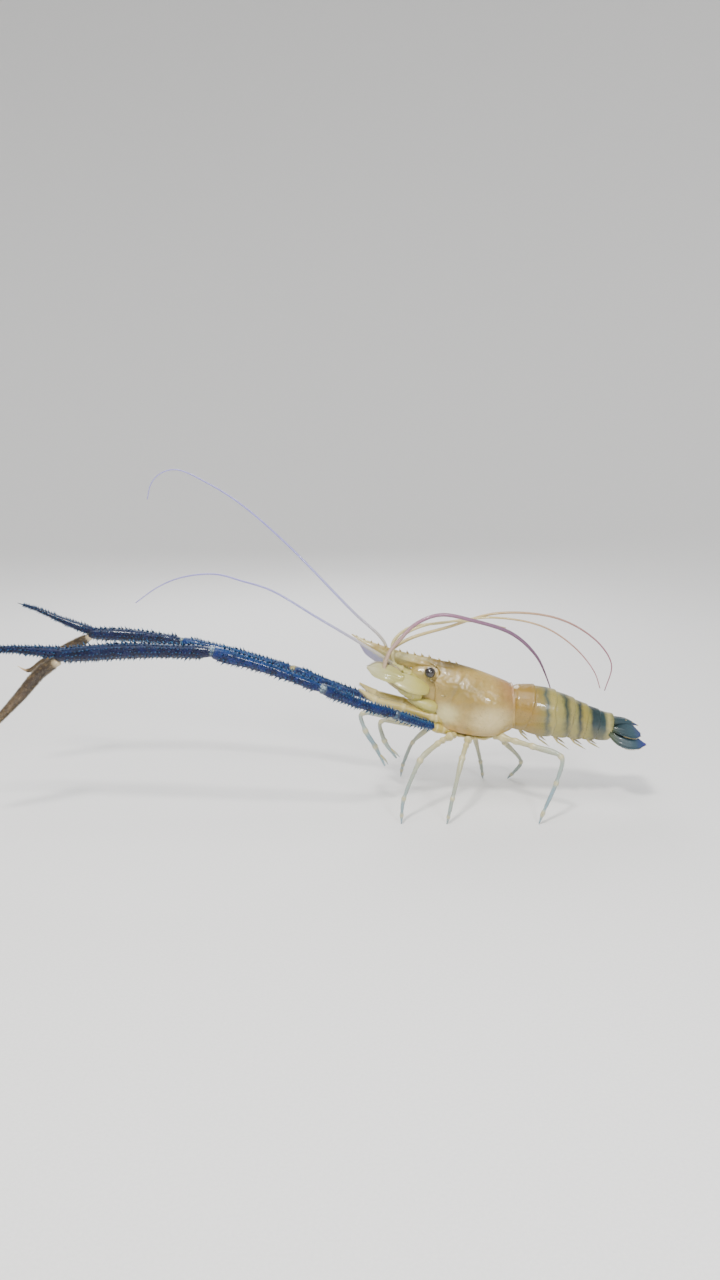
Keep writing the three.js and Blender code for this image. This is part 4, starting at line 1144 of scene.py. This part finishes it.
def abdomen_ring(number):
    length = ABDOMEN_LINE.length
    start, end = SPLITS[number - 1], SPLITS[number]
    lap = LAP / length if number < 6 else 0.6 / length

    def surface(t, angle, reach=1.0):
        a = abs(angle)
        low = reach * ((1 - math.cos(angle)) / 2) ** 2
        plate = ease(a, 1.25, 1.7) * ease(a, 2.75, 2.35)
        round_plate = 1 - (2 * abs(t - 0.5)) ** 3
        first = start + SWEEPS[number - 1] * low - (3.0 if number == 1 else 1.2) / length
        final = end + SWEEPS[number] * low + lap * (1 - 0.4 * low)
        shift = 0.0
        if number == 2:
            shift = 0.03 * plate
        first, final = first - shift * reach, final + shift * reach
        swell = 0.052 * ease(t, 0.1, 0.95) - 0.012 + 0.012 * hump(t, 0.9, 0.04) - 0.014 * hump(t, 0.16, 0.06)
        lip = -0.045 * ease(t, 0.965, 1.0) - (0.11 * ease(t, 0.3, 0.0) if number == 1 else 0.0)
        overlap = 0.035 * plate if number == 2 else 0.0
        p = abdomen_point(first + (final - first) * t, angle, reach, 1 + (swell + lip + overlap) * reach)
        p.z -= reach * 1.9 * plate * round_plate * ease(a, 1.5, 2.1) * (1.25 if number == 2 else 1.0)
        p.z += reach * 2.4 * ease(a, 2.45, 2.8)
        return p

    ring = formed(f"abdomen_{number}_ring", surface, 64, 22, 1, (end - start) * length)
    return dress(ring, ABDOMEN, "abdomen_shell", f"abdomen_{number}")


for number in range(1, 7):
    abdomen_ring(number)

# %% [markdown]
# ## Tail fan
#
# The fan is the pointed telson in the middle, with two pairs of tiny spines on its back, and two blades on
# each side. The blades are thin, with a rib down the middle, and a fringe of hairs along the rear edge.

# %% Telson and uropods
telson = limb_surface([(150.5, 0, 50), (162, 0, 50), (169.5, 0, 47.8)], [4.9, 4.7, 4.2, 3.4, 2.2, 0.5],
                      [3.2, 2.9, 2.5, 2.0, 1.2, 0.35])

telson_surface = carved(telson, lambda t, angle: (
    1 + 0.16 * hump(abs(angle), 0.55, 0.2) - 0.1 * hump(angle, 0, 0.2)))
dress(formed("telson_plate", telson_surface, 32, 26, 1, telson.length), FAN, "tail_fan", "telson")
fan_spines = [standing(telson_surface, t, s * 0.75, 1.3, 0.32, 0.75) for t in (0.55, 0.78) for s in (-1, 1)]
fan_spines += [standing(telson_surface, 0.97, a, 1.6, 0.3, 0.85) for a in (-1.9, -1.3, 1.3, 1.9)]
dress(scattered("telson_spines", TOOTH, fan_spines), CREAM_SPINES, "tail_fan")

UROPODS = {"inner": [(151.6, 4.2, 47), (159, 7.6, 47.2), (164.5, 8.6, 46.2), (169.5, 8.4, 44.4)],
           "outer": [(151.2, 5.6, 44.4), (158.5, 11.6, 42.2), (164.5, 13.8, 41), (171.5, 13.6, 39.8)]}
UROPOD_FACES = {"inner": (0, 0.45, 0.89), "outer": (0, 0.68, 0.73)}
UROPOD_WIDTHS = {"inner": [1.4, 3.2, 4.8, 5.5, 4.8, 1.6], "outer": [1.4, 3.6, 5.1, 5.0, 3.4, 0.6]}
FAN_HAIRS = 420


def uropod_rib(t, angle):
    wide = math.sin(angle)
    rib = 1 + 1.1 * hump(wide, 0, 0.1) * (1 - t) + 0.22 * math.sin(26 * wide)
    return rib if abs(math.cos(angle)) > 0.05 else 1.0


random.seed(8)
for sign, side in SIDES:
    for which, points in UROPODS.items():
        blade = limb_surface(at_side(points, sign), UROPOD_WIDTHS[which], [1.3, 0.8, 0.6, 0.5, 0.38, 0.15],
                             at_side([UROPOD_FACES[which]], sign)[0])
        uropod_surface = carved(blade, uropod_rib)
        piece = formed(f"uropod_{which}_{side}_blade", uropod_surface, 48, 30, 1, blade.length)
        dress(piece, FAN, "tail_fan", f"uropod_{which}_{side}")
        fringe = []
        for i in range(FAN_HAIRS):
            t = 0.45 + 0.54 * i / (FAN_HAIRS - 1)
            edge = random.choice((-1, 1)) * math.pi / 2
            fringe.append(standing(uropod_surface, t, edge + random.uniform(-0.1, 0.1), 1.5, 0.06, 0.75))
        dress(scattered(f"uropod_{which}_{side}_fringe", HAIR, fringe), FRINGE, "tail_fan")

# %% [markdown]
# ## Great claws
#
# Each arm has four long tubes with dark, pale-flecked skin in the joints. The fourth, the palm, ends in two
# claw fingers. The tubes bow a little, widen towards the palm and flare round each joint. Spines stand on
# them in rows, about one every two millimetres, all leaning towards the palm. The upper claw finger is
# fixed and spiny, with teeth along its inner edge. The lower one, which moves on the animal, wears velvet,
# out to a bare hooked tip.

# %% Arms: measures
ARMS = {
    "left": {"joints": [(45, -8, 49), (21, -24, 61.5), (-20.4, -52, 84.5), (-79.6, -60, 107.2),
                        (-168, -48, 102.4)],
             "fixed": [(-180, -47, 105), (-199, -46, 105.4), (-228, -45, 99.5)],
             "moving": [(-166, -48, 99.5), (-176, -48, 93.5), (-189, -48, 79.5), (-203, -47, 65),
                        (-212, -46.5, 56), (-217, -46, 56)], "girth": 1.0},
    "right": {"joints": [(45, 8, 47.4), (18, 16, 57.5), (-42.3, 30, 75.6), (-113.7, 36, 92.4),
                         (-172, 30, 99)],
              "fixed": [(-185, 29.5, 106.6), (-202, 29, 114.4), (-214.5, 29, 118.6)],
              "moving": [(-170, 30, 97), (-179, 30, 92.5), (-190, 30, 87), (-201, 29.6, 80.5),
                         (-211, 29, 75), (-217.5, 29, 78)], "girth": 0.9},
}
ARM_PARTS = ["ischium", "merus", "carpus", "palm"]
ARM_GIRTHS = {
    "ischium": [2.0, 2.45, 2.35, 2.35, 2.45, 2.6, 2.75, 2.2],
    "merus": [2.0, 2.6, 2.4, 2.45, 2.5, 2.55, 2.65, 2.8, 3.3, 2.9],
    "carpus": [2.1, 2.9, 2.6, 2.7, 2.85, 3.0, 3.15, 3.4, 4.0, 3.3],
    "palm": [2.7, 3.9, 3.6, 3.8, 4.0, 4.2, 4.3, 4.3, 4.2, 3.9, 3.4],
}
ARM_ROWS = {"ischium": 8, "merus": 10, "carpus": 10, "palm": 12}
# Millimetres from one spine to the next in a row.
SPINE_STEP = 2.3
BOW = {"ischium": -0.02, "merus": -0.02, "carpus": 0.02, "palm": 0.02}
for side, arm in ARMS.items():
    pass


# %% Arms: surfaces and rows of spines
def arm_line(arm, part):
    i = ARM_PARTS.index(part)
    a, b = Vector(arm["joints"][i]), Vector(arm["joints"][i + 1])
    along = b - a
    middle = (a + b) / 2 + Vector((0, 0, BOW[part] * along.length))
    return [a + along.normalized() * 0.5, middle, b - along.normalized() * 0.5]


def arm_surface(arm, part):
    girths = [g * arm["girth"] for g in ARM_GIRTHS[part]]
    return limb_surface(arm_line(arm, part), girths)


def spine_rows(surface, rows, step, length, radius, first=0.05, last=0.95, lean=0.62):
    """Rows of spines along a limb, uneven in size and place as grown ones are."""
    placements = []
    count = max(int(surface.length * (last - first) / step), 2)
    for row in range(rows):
        for i in range(count):
            t = first + (last - first) * (i + 0.5 * (row % 2) + random.uniform(-0.22, 0.22)) / count
            angle = math.tau * row / rows + random.uniform(-0.09, 0.09)
            angle = math.atan2(math.sin(angle), math.cos(angle))
            size = random.uniform(0.65, 1.2)
            placements.append(standing(surface, min(max(t, 0.01), 0.99), angle, length * size, radius * size,
                                       lean, 0.25, random.uniform(-0.1, 0.1)))
    return placements


print("a palm carries", ARM_ROWS["palm"], "rows of spines")


# %% Arms: tubes, joints and spines
random.seed(5)


def make_arm(side):
    arm = ARMS[side]
    for part in ARM_PARTS:
        surface = arm_surface(arm, part)
        ridged = carved(surface, lambda t, angle: (
            1 + 0.02 * math.sin(6 * angle) + 0.016 * math.sin(t * surface.length * 1.9 + 3 * angle)))
        tube = formed(f"claw_{part}_{side}_tube", ridged, 40, 44, 1, surface.length, (0.0, 1.0),
                      1.3 / surface.length)
        if part != "palm":
            # The ischium takes the shell with painted highlights on both its edges.
            look = {"ischium": COBALT_EDGE_HIGHLIGHTS}.get(part, COBALT)
            dress(tube, look, "claw_blue", f"claw_{part}_{side}")
        placements = spine_rows(surface, ARM_ROWS[part], SPINE_STEP, 1.7, 0.42, lean=0.5)
        edge = spine_rows(surface, 2, 2.6, 2.5, 0.55, lean=0.5)
        dress(scattered(f"claw_{part}_{side}_spines", SPINE, placements + edge), BLUE_SPINES, "claw_blue")
    finger = fixed_finger(side, arm)
    dress(joined(f"claw_palm_{side}_shell", [tube, finger]), NAVY, "claw_blue", f"claw_palm_{side}")
    for i in range(1, 4):
        before, at, after = (Vector(arm["joints"][k]) for k in (i - 1, i, i + 1))
        skin = limb_surface([at - (at - before).normalized() * 1.8, at, at + (after - at).normalized() * 1.8],
                            [g * arm["girth"] for g in (2.1, 2.75, 2.95, 2.85, 2.2)])
        wrinkled = carved(skin, lambda t, angle: 1 + 0.05 * math.sin(26 * t))
        dress(formed(f"claw_joint_{i}_{side}", wrinkled, 24, 20, 1), MEMBRANE, "claw_blue")


def fixed_finger(side, arm):
    end, before = Vector(arm["joints"][4]), Vector(arm["joints"][3])
    root = end.lerp(before, 0.08) + Vector((0, 0, 1.2))
    girths = [g * arm["girth"] for g in (2.9, 3.1, 2.7, 2.3, 1.9, 1.5, 1.15, 0.75, 0.18)]
    surface = limb_surface([root, *arm["fixed"]], girths)
    finger = formed("fixed_finger_form", surface, 28, 44, 1, surface.length, (0.0,), 0.04)
    bristles = spine_rows(surface, 9, 1.9, 1.9, 0.46, 0.06, 0.94, 0.5)
    for i in range(16):
        t = 0.16 + 0.05 * i
        size = 1.35 if i in (1, 4) else 0.8
        bristles.append(standing(surface, t, math.pi, 1.1 * size, 0.62 * size, 0.15, 0.25))
    dress(scattered(f"claw_fixed_finger_{side}_teeth", SPINE, bristles), BLUE_SPINES, "claw_blue")
    return finger


for sign, side in SIDES:
    make_arm(side)
    hip = Vector(ARMS[side]["joints"][0])
    knee = Vector(ARMS[side]["joints"][1])
    ahead = (knee - hip).normalized()
    root = limb_surface([(56, 5.5 * sign, 46.5), (50.5, 7 * sign, 47.2), hip, hip + ahead * 2.2],
                        [3.2, 3.5, 3.0, 2.8, 3.1, 2.9, 2.2])
    dress(limb(f"claw_root_{side}", root, 26, 30, 1, (0.45, 0.8), 0.04), MOUTH, "belly")

# %% Moving fingers and velvet
FELT_HAIRS = 9000
random.seed(12)


def moving_finger(side):
    arm = ARMS[side]
    girths = [g * arm["girth"] for g in (2.4, 2.9, 3.05, 2.9, 2.7, 2.35, 1.95, 1.5, 1.0, 0.2)]
    surface = limb_surface(arm["moving"], girths)
    core = formed(f"claw_finger_{side}_core", surface, 28, 56, 1, surface.length, (0.0, 1.0), 0.05)
    dress(core, HORN_FINGER, "finger_velvet", f"claw_finger_{side}")
    hairs = []
    for i in range(FELT_HAIRS):
        t = 0.05 + 0.83 * (i + random.random()) / FELT_HAIRS
        length = random.uniform(0.8, 1.5) * (1 - 0.45 * ease(t, 0.7, 0.9))
        hairs.append(standing(surface, t, random.uniform(-math.pi, math.pi), length, 0.075, 0.42, 0.1,
                              random.uniform(-0.25, 0.25)))
    dress(scattered(f"claw_finger_{side}_velvet", HAIR, hairs), VELVET, "finger_velvet")
    teeth = [standing(surface, 0.12 + 0.055 * i, 0.0, 1.1 if i in (1, 3) else 0.6, 0.6, 0.15, 0.1)
             for i in range(12)]
    dress(scattered(f"claw_finger_{side}_teeth", TOOTH, teeth), CREAM_SPINES, "finger_velvet")


HORN_FINGER = pale_shell("brown_claw_horn", "#2e221a", "#4a3626", "#c9a878", 70.0, "#d8c49a", "#1c140e")
for sign, side in SIDES:
    moving_finger(side)

# %% [markdown]
# ## Legs
#
# The legs are slender tubes of six lengths. Each joint is a small swelling with cream skin, and the last
# length is a pointed claw. The feet rest on small flats. The first pair ends in tiny pincers instead, and
# the mouth legs in front of it are stout, fringed and cream.

# %% Legs: measures and hairs
LEG_GIRTHS = smooth([2.7, 1.8, 1.7, 1.9, 1.35, 1.3, 1.2, 0.8])
LEGS = {
    "walking_leg_3_left": [(57, -8, 44.5), (46, -21, 43), (35, -31, 36.6), (25, -37.5, 14), (24, -39.5, 0)],
    "walking_leg_4_left": [(66, -8, 43), (60, -28, 37), (53.5, -38, 14), (50.5, -40, 0)],
    "walking_leg_5_left": [(81, -8, 44), (102, -24, 42), (118, -33, 39), (114, -36.5, 24), (106, -39.5, 6),
                           (104, -40, 0)],
    "walking_leg_3_right": [(57, 8, 44.5), (46, 24, 40), (34, 34, 26), (28, 39, 8), (27, 40, 0)],
    "walking_leg_4_right": [(68, 8, 43), (73, 24, 34), (79, 34, 12), (81, 36, 0)],
    "walking_leg_5_right": [(80, 8, 44), (92, 22, 30), (106, 32, 13), (97, 36, 0)],
}
LEG_HAIRS = 160
random.seed(21)


def bristled(name, surface, first, last, length, lean):
    """Short scattered hairs along the outer part of a leg."""
    hairs = [standing(surface, random.uniform(first, last), random.uniform(-math.pi, math.pi), length,
                      0.06, lean) for i in range(LEG_HAIRS)]
    dress(scattered(f"{name}_bristles", HAIR, hairs), FRINGE, "limb")


def jointed(girths, joints, swell=0.3):
    """A limb's girth with a swelling at each joint and a slight waist before it."""
    def read(t):
        swells = sum(swell * hump(t, j, 0.016) - 0.14 * hump(t, j - 0.035, 0.016) for j in joints)
        return girths(t) * (1 + swells)
    return read


def bends(line):
    """The share of a limb's length at each of its bends."""
    inner = line.joints[1:-1]
    return [(a + b) / 2 for a, b in zip(inner[::2], inner[1::2])]


print("the leg helpers are ready")


# %% Walking legs
def leg(name, points):
    line = smooth_line(straight_lengths(points))
    joints = [0.07, 0.17, *bends(line), 0.93]
    girth = jointed(LEG_GIRTHS, joints)

    def surface(t, angle, reach=1.0):
        at, ahead = line(t)
        side_way = ahead.cross(Vector((1, 0, 0))).normalized()
        lift = side_way.cross(ahead)
        narrow = 1 - 0.55 * ease(t, 0.94, 1.0)
        r = girth(t) * reach * narrow
        p = at + side_way * (r * math.sin(angle)) + lift * (r * 0.9 * math.cos(angle))
        p.z = max(p.z, 0.02)
        return p

    surface.length = line.length
    dress(limb(f"{name}_shell", surface, 20, 90, 1, joints, 0.018), LEG, "limb", name)
    bristled(name, surface, 0.55, 0.97, 1.3, 0.65)


for name, points in LEGS.items():
    leg(name, points)


# %% Small clawed legs
FIRST_LEGS = {"left": [(48, -7, 47.4), (24, -15, 56), (0, -15.5, 60.6), (3, -15.5, 49), (9, -15.5, 39.5),
                       (15, -15.5, 27)],
              "right": [(48, 7, 46.4), (31, 10, 45.4), (12, 11, 47.6), (15, 11.5, 34), (23, 11.5, 22.5)]}
for side, points in FIRST_LEGS.items():
    line = smooth_line(straight_lengths(points))
    joints = [0.1, *bends(line)]
    girth = jointed(smooth([2.3, 1.7, 1.6, 1.2, 1.5, 0.55]), joints)
    surface = limb_surface(straight_lengths(points), [1, 1], up=(0, 1, 0))
    clawed = carved(surface, lambda t, angle: girth(t))
    before, tip = Vector(points[-2]), Vector(points[-1])
    root = before.lerp(tip, 0.42)
    bend = Vector(((root.x + tip.x) / 2 + 2, tip.y, (root.z + tip.z) / 2))
    finger = limb_surface([root, bend, tip + Vector((2, 0, 0.6))], [0.95, 0.85, 0.7, 0.5, 0.12], up=(0, 1, 0))
    forms = [formed("leg_form", clawed, 18, 90, 1, line.length, joints, 0.02),
             formed("finger_form", finger, 12, 16, 1, 60, (0.0,), 0.1)]
    dress(joined(f"first_leg_{side}_shell", forms), LEG, "limb", f"first_leg_{side}")
    bristled(f"first_leg_{side}", clawed, 0.35, 0.98, 1.2, 0.6)

# %% Mouth legs
MOUTH_HAIRS = 900
for sign, side in SIDES:
    points = at_side([(52, 6, 53), (43, 7, 55.4), (26, 8, 61), (9, 8, 66.4), (-0.5, 7.4, 72.6)], sign)
    line = smooth_line(points)
    joints = [0.12, *line.joints[1:-1]]
    girth = jointed(smooth([3.4, 3.3, 2.7, 2.5, 2.3, 2.1, 1.8, 0.5]), joints, 0.16)
    mouth_leg = carved(limb_surface(points, [1, 1]), lambda t, angle: girth(t))
    form = formed(f"maxilliped_{side}_shell", mouth_leg, 20, 70, 1, line.length, joints, 0.025)
    dress(form, MOUTH, "limb", f"maxilliped_{side}")
    hairs = [standing(mouth_leg, random.uniform(0.2, 0.98), random.gauss(math.pi, 0.7),
                      random.uniform(1.0, 2.2), 0.06, 0.45, roll=random.uniform(-0.3, 0.3))
             for i in range(MOUTH_HAIRS)]
    dress(scattered(f"maxilliped_{side}_fringe", HAIR, hairs), FRINGE, "limb")

# %% [markdown]
# ## Underside
#
# Under the shield the chest is a row of plates between the roots of the legs, and each leg starts in a
# stout ring. Under the abdomen hang five pairs of swimming legs: a flat stalk with two leaves each, the
# larger one fringed.

# %% Chest plates and swimming legs
def chest_plates(t, angle, reach=1.0):
    x = 49 + 41 * t
    share = min(max((x - 45) / 47.5, 0), 1)
    half = 8.5 * (0.75 + 0.25 * math.sin(math.pi * t))
    low = 5.4 * (0.6 + 0.4 * math.sin(math.pi * t))
    steps = 0.35 * math.sin(math.tau * 5 * t)
    keel = 0.5 * hump(abs(angle), math.pi, 0.25)
    high = math.cos(angle)
    return Vector((x, reach * half * math.sin(angle),
                   CHEST_BOTTOM(share) + 0.5 + (reach * high - 1) * low / 2
                   - reach * (steps * (high < 0) + keel)))


STERNUM_LENGTH = 41.0
sternum = formed("sternum_plates", chest_plates, 36, 44, 1, STERNUM_LENGTH, (0.1, 0.3, 0.5, 0.7, 0.9), 0.02)
dress(sternum, MOUTH, "belly", "sternum")

SWIM_AT = [0.08, 0.26, 0.45, 0.62, 0.77]
SWIM_LENGTH = [13, 14.5, 14, 12.5, 10.5]
SWIM_SWEEP = [0.55, 0.65, 0.72, 0.8, 0.85]
SWIM_HAIRS = 260
random.seed(17)
for pair in range(5):
    for sign, side in SIDES:
        root = abdomen_point(SWIM_AT[pair], math.pi - 0.5, 1)
        x, y, z = root.x, abs(root.y) * sign, root.z + 1.5
        reach_back = SWIM_LENGTH[pair]
        sweep = SWIM_SWEEP[pair]
        knee = (x + reach_back * 0.3 * sweep, y * 1.05, z - reach_back * 0.38)
        stalk = limb_surface([(x, y, z), ((x + knee[0]) / 2, y * 1.03, (z + knee[2]) / 2), knee],
                             [1.5, 1.7, 1.6, 1.2], [1.2, 1.0, 0.8, 0.6])
        forms = [limb("stalk_form", stalk, 18, 14)]
        hairs = []
        for leaf, (wide, out, share) in enumerate([(1.9, 0.0, 1.0), (1.5, 1.6, 0.88)]):
            tip = (x + reach_back * sweep * share, y * 0.95 + sign * out, z - reach_back * 0.72 * share)
            middle = tuple((a + b) / 2 for a, b in zip(knee, tip))
            surface = limb_surface([knee, middle, tip], [0.9, wide, wide * 1.15, wide * 0.9, 0.25],
                                   [0.5, 0.32, 0.28, 0.22, 0.12])
            forms.append(limb("leaf_form", surface, 16, 14))
            if leaf == 0:
                hairs = [standing(surface, 0.25 + 0.74 * i / (SWIM_HAIRS - 1),
                                  random.choice((-1, 1)) * math.pi / 2, 1.5, 0.055, 0.7)
                         for i in range(SWIM_HAIRS)]
        name = f"swimmeret_{pair + 1}_{side}"
        dress(joined(f"{name}_leaves", forms), LEG, "limb", name)
        dress(scattered(f"{name}_fringe", HAIR, hairs), FRINGE, "limb")
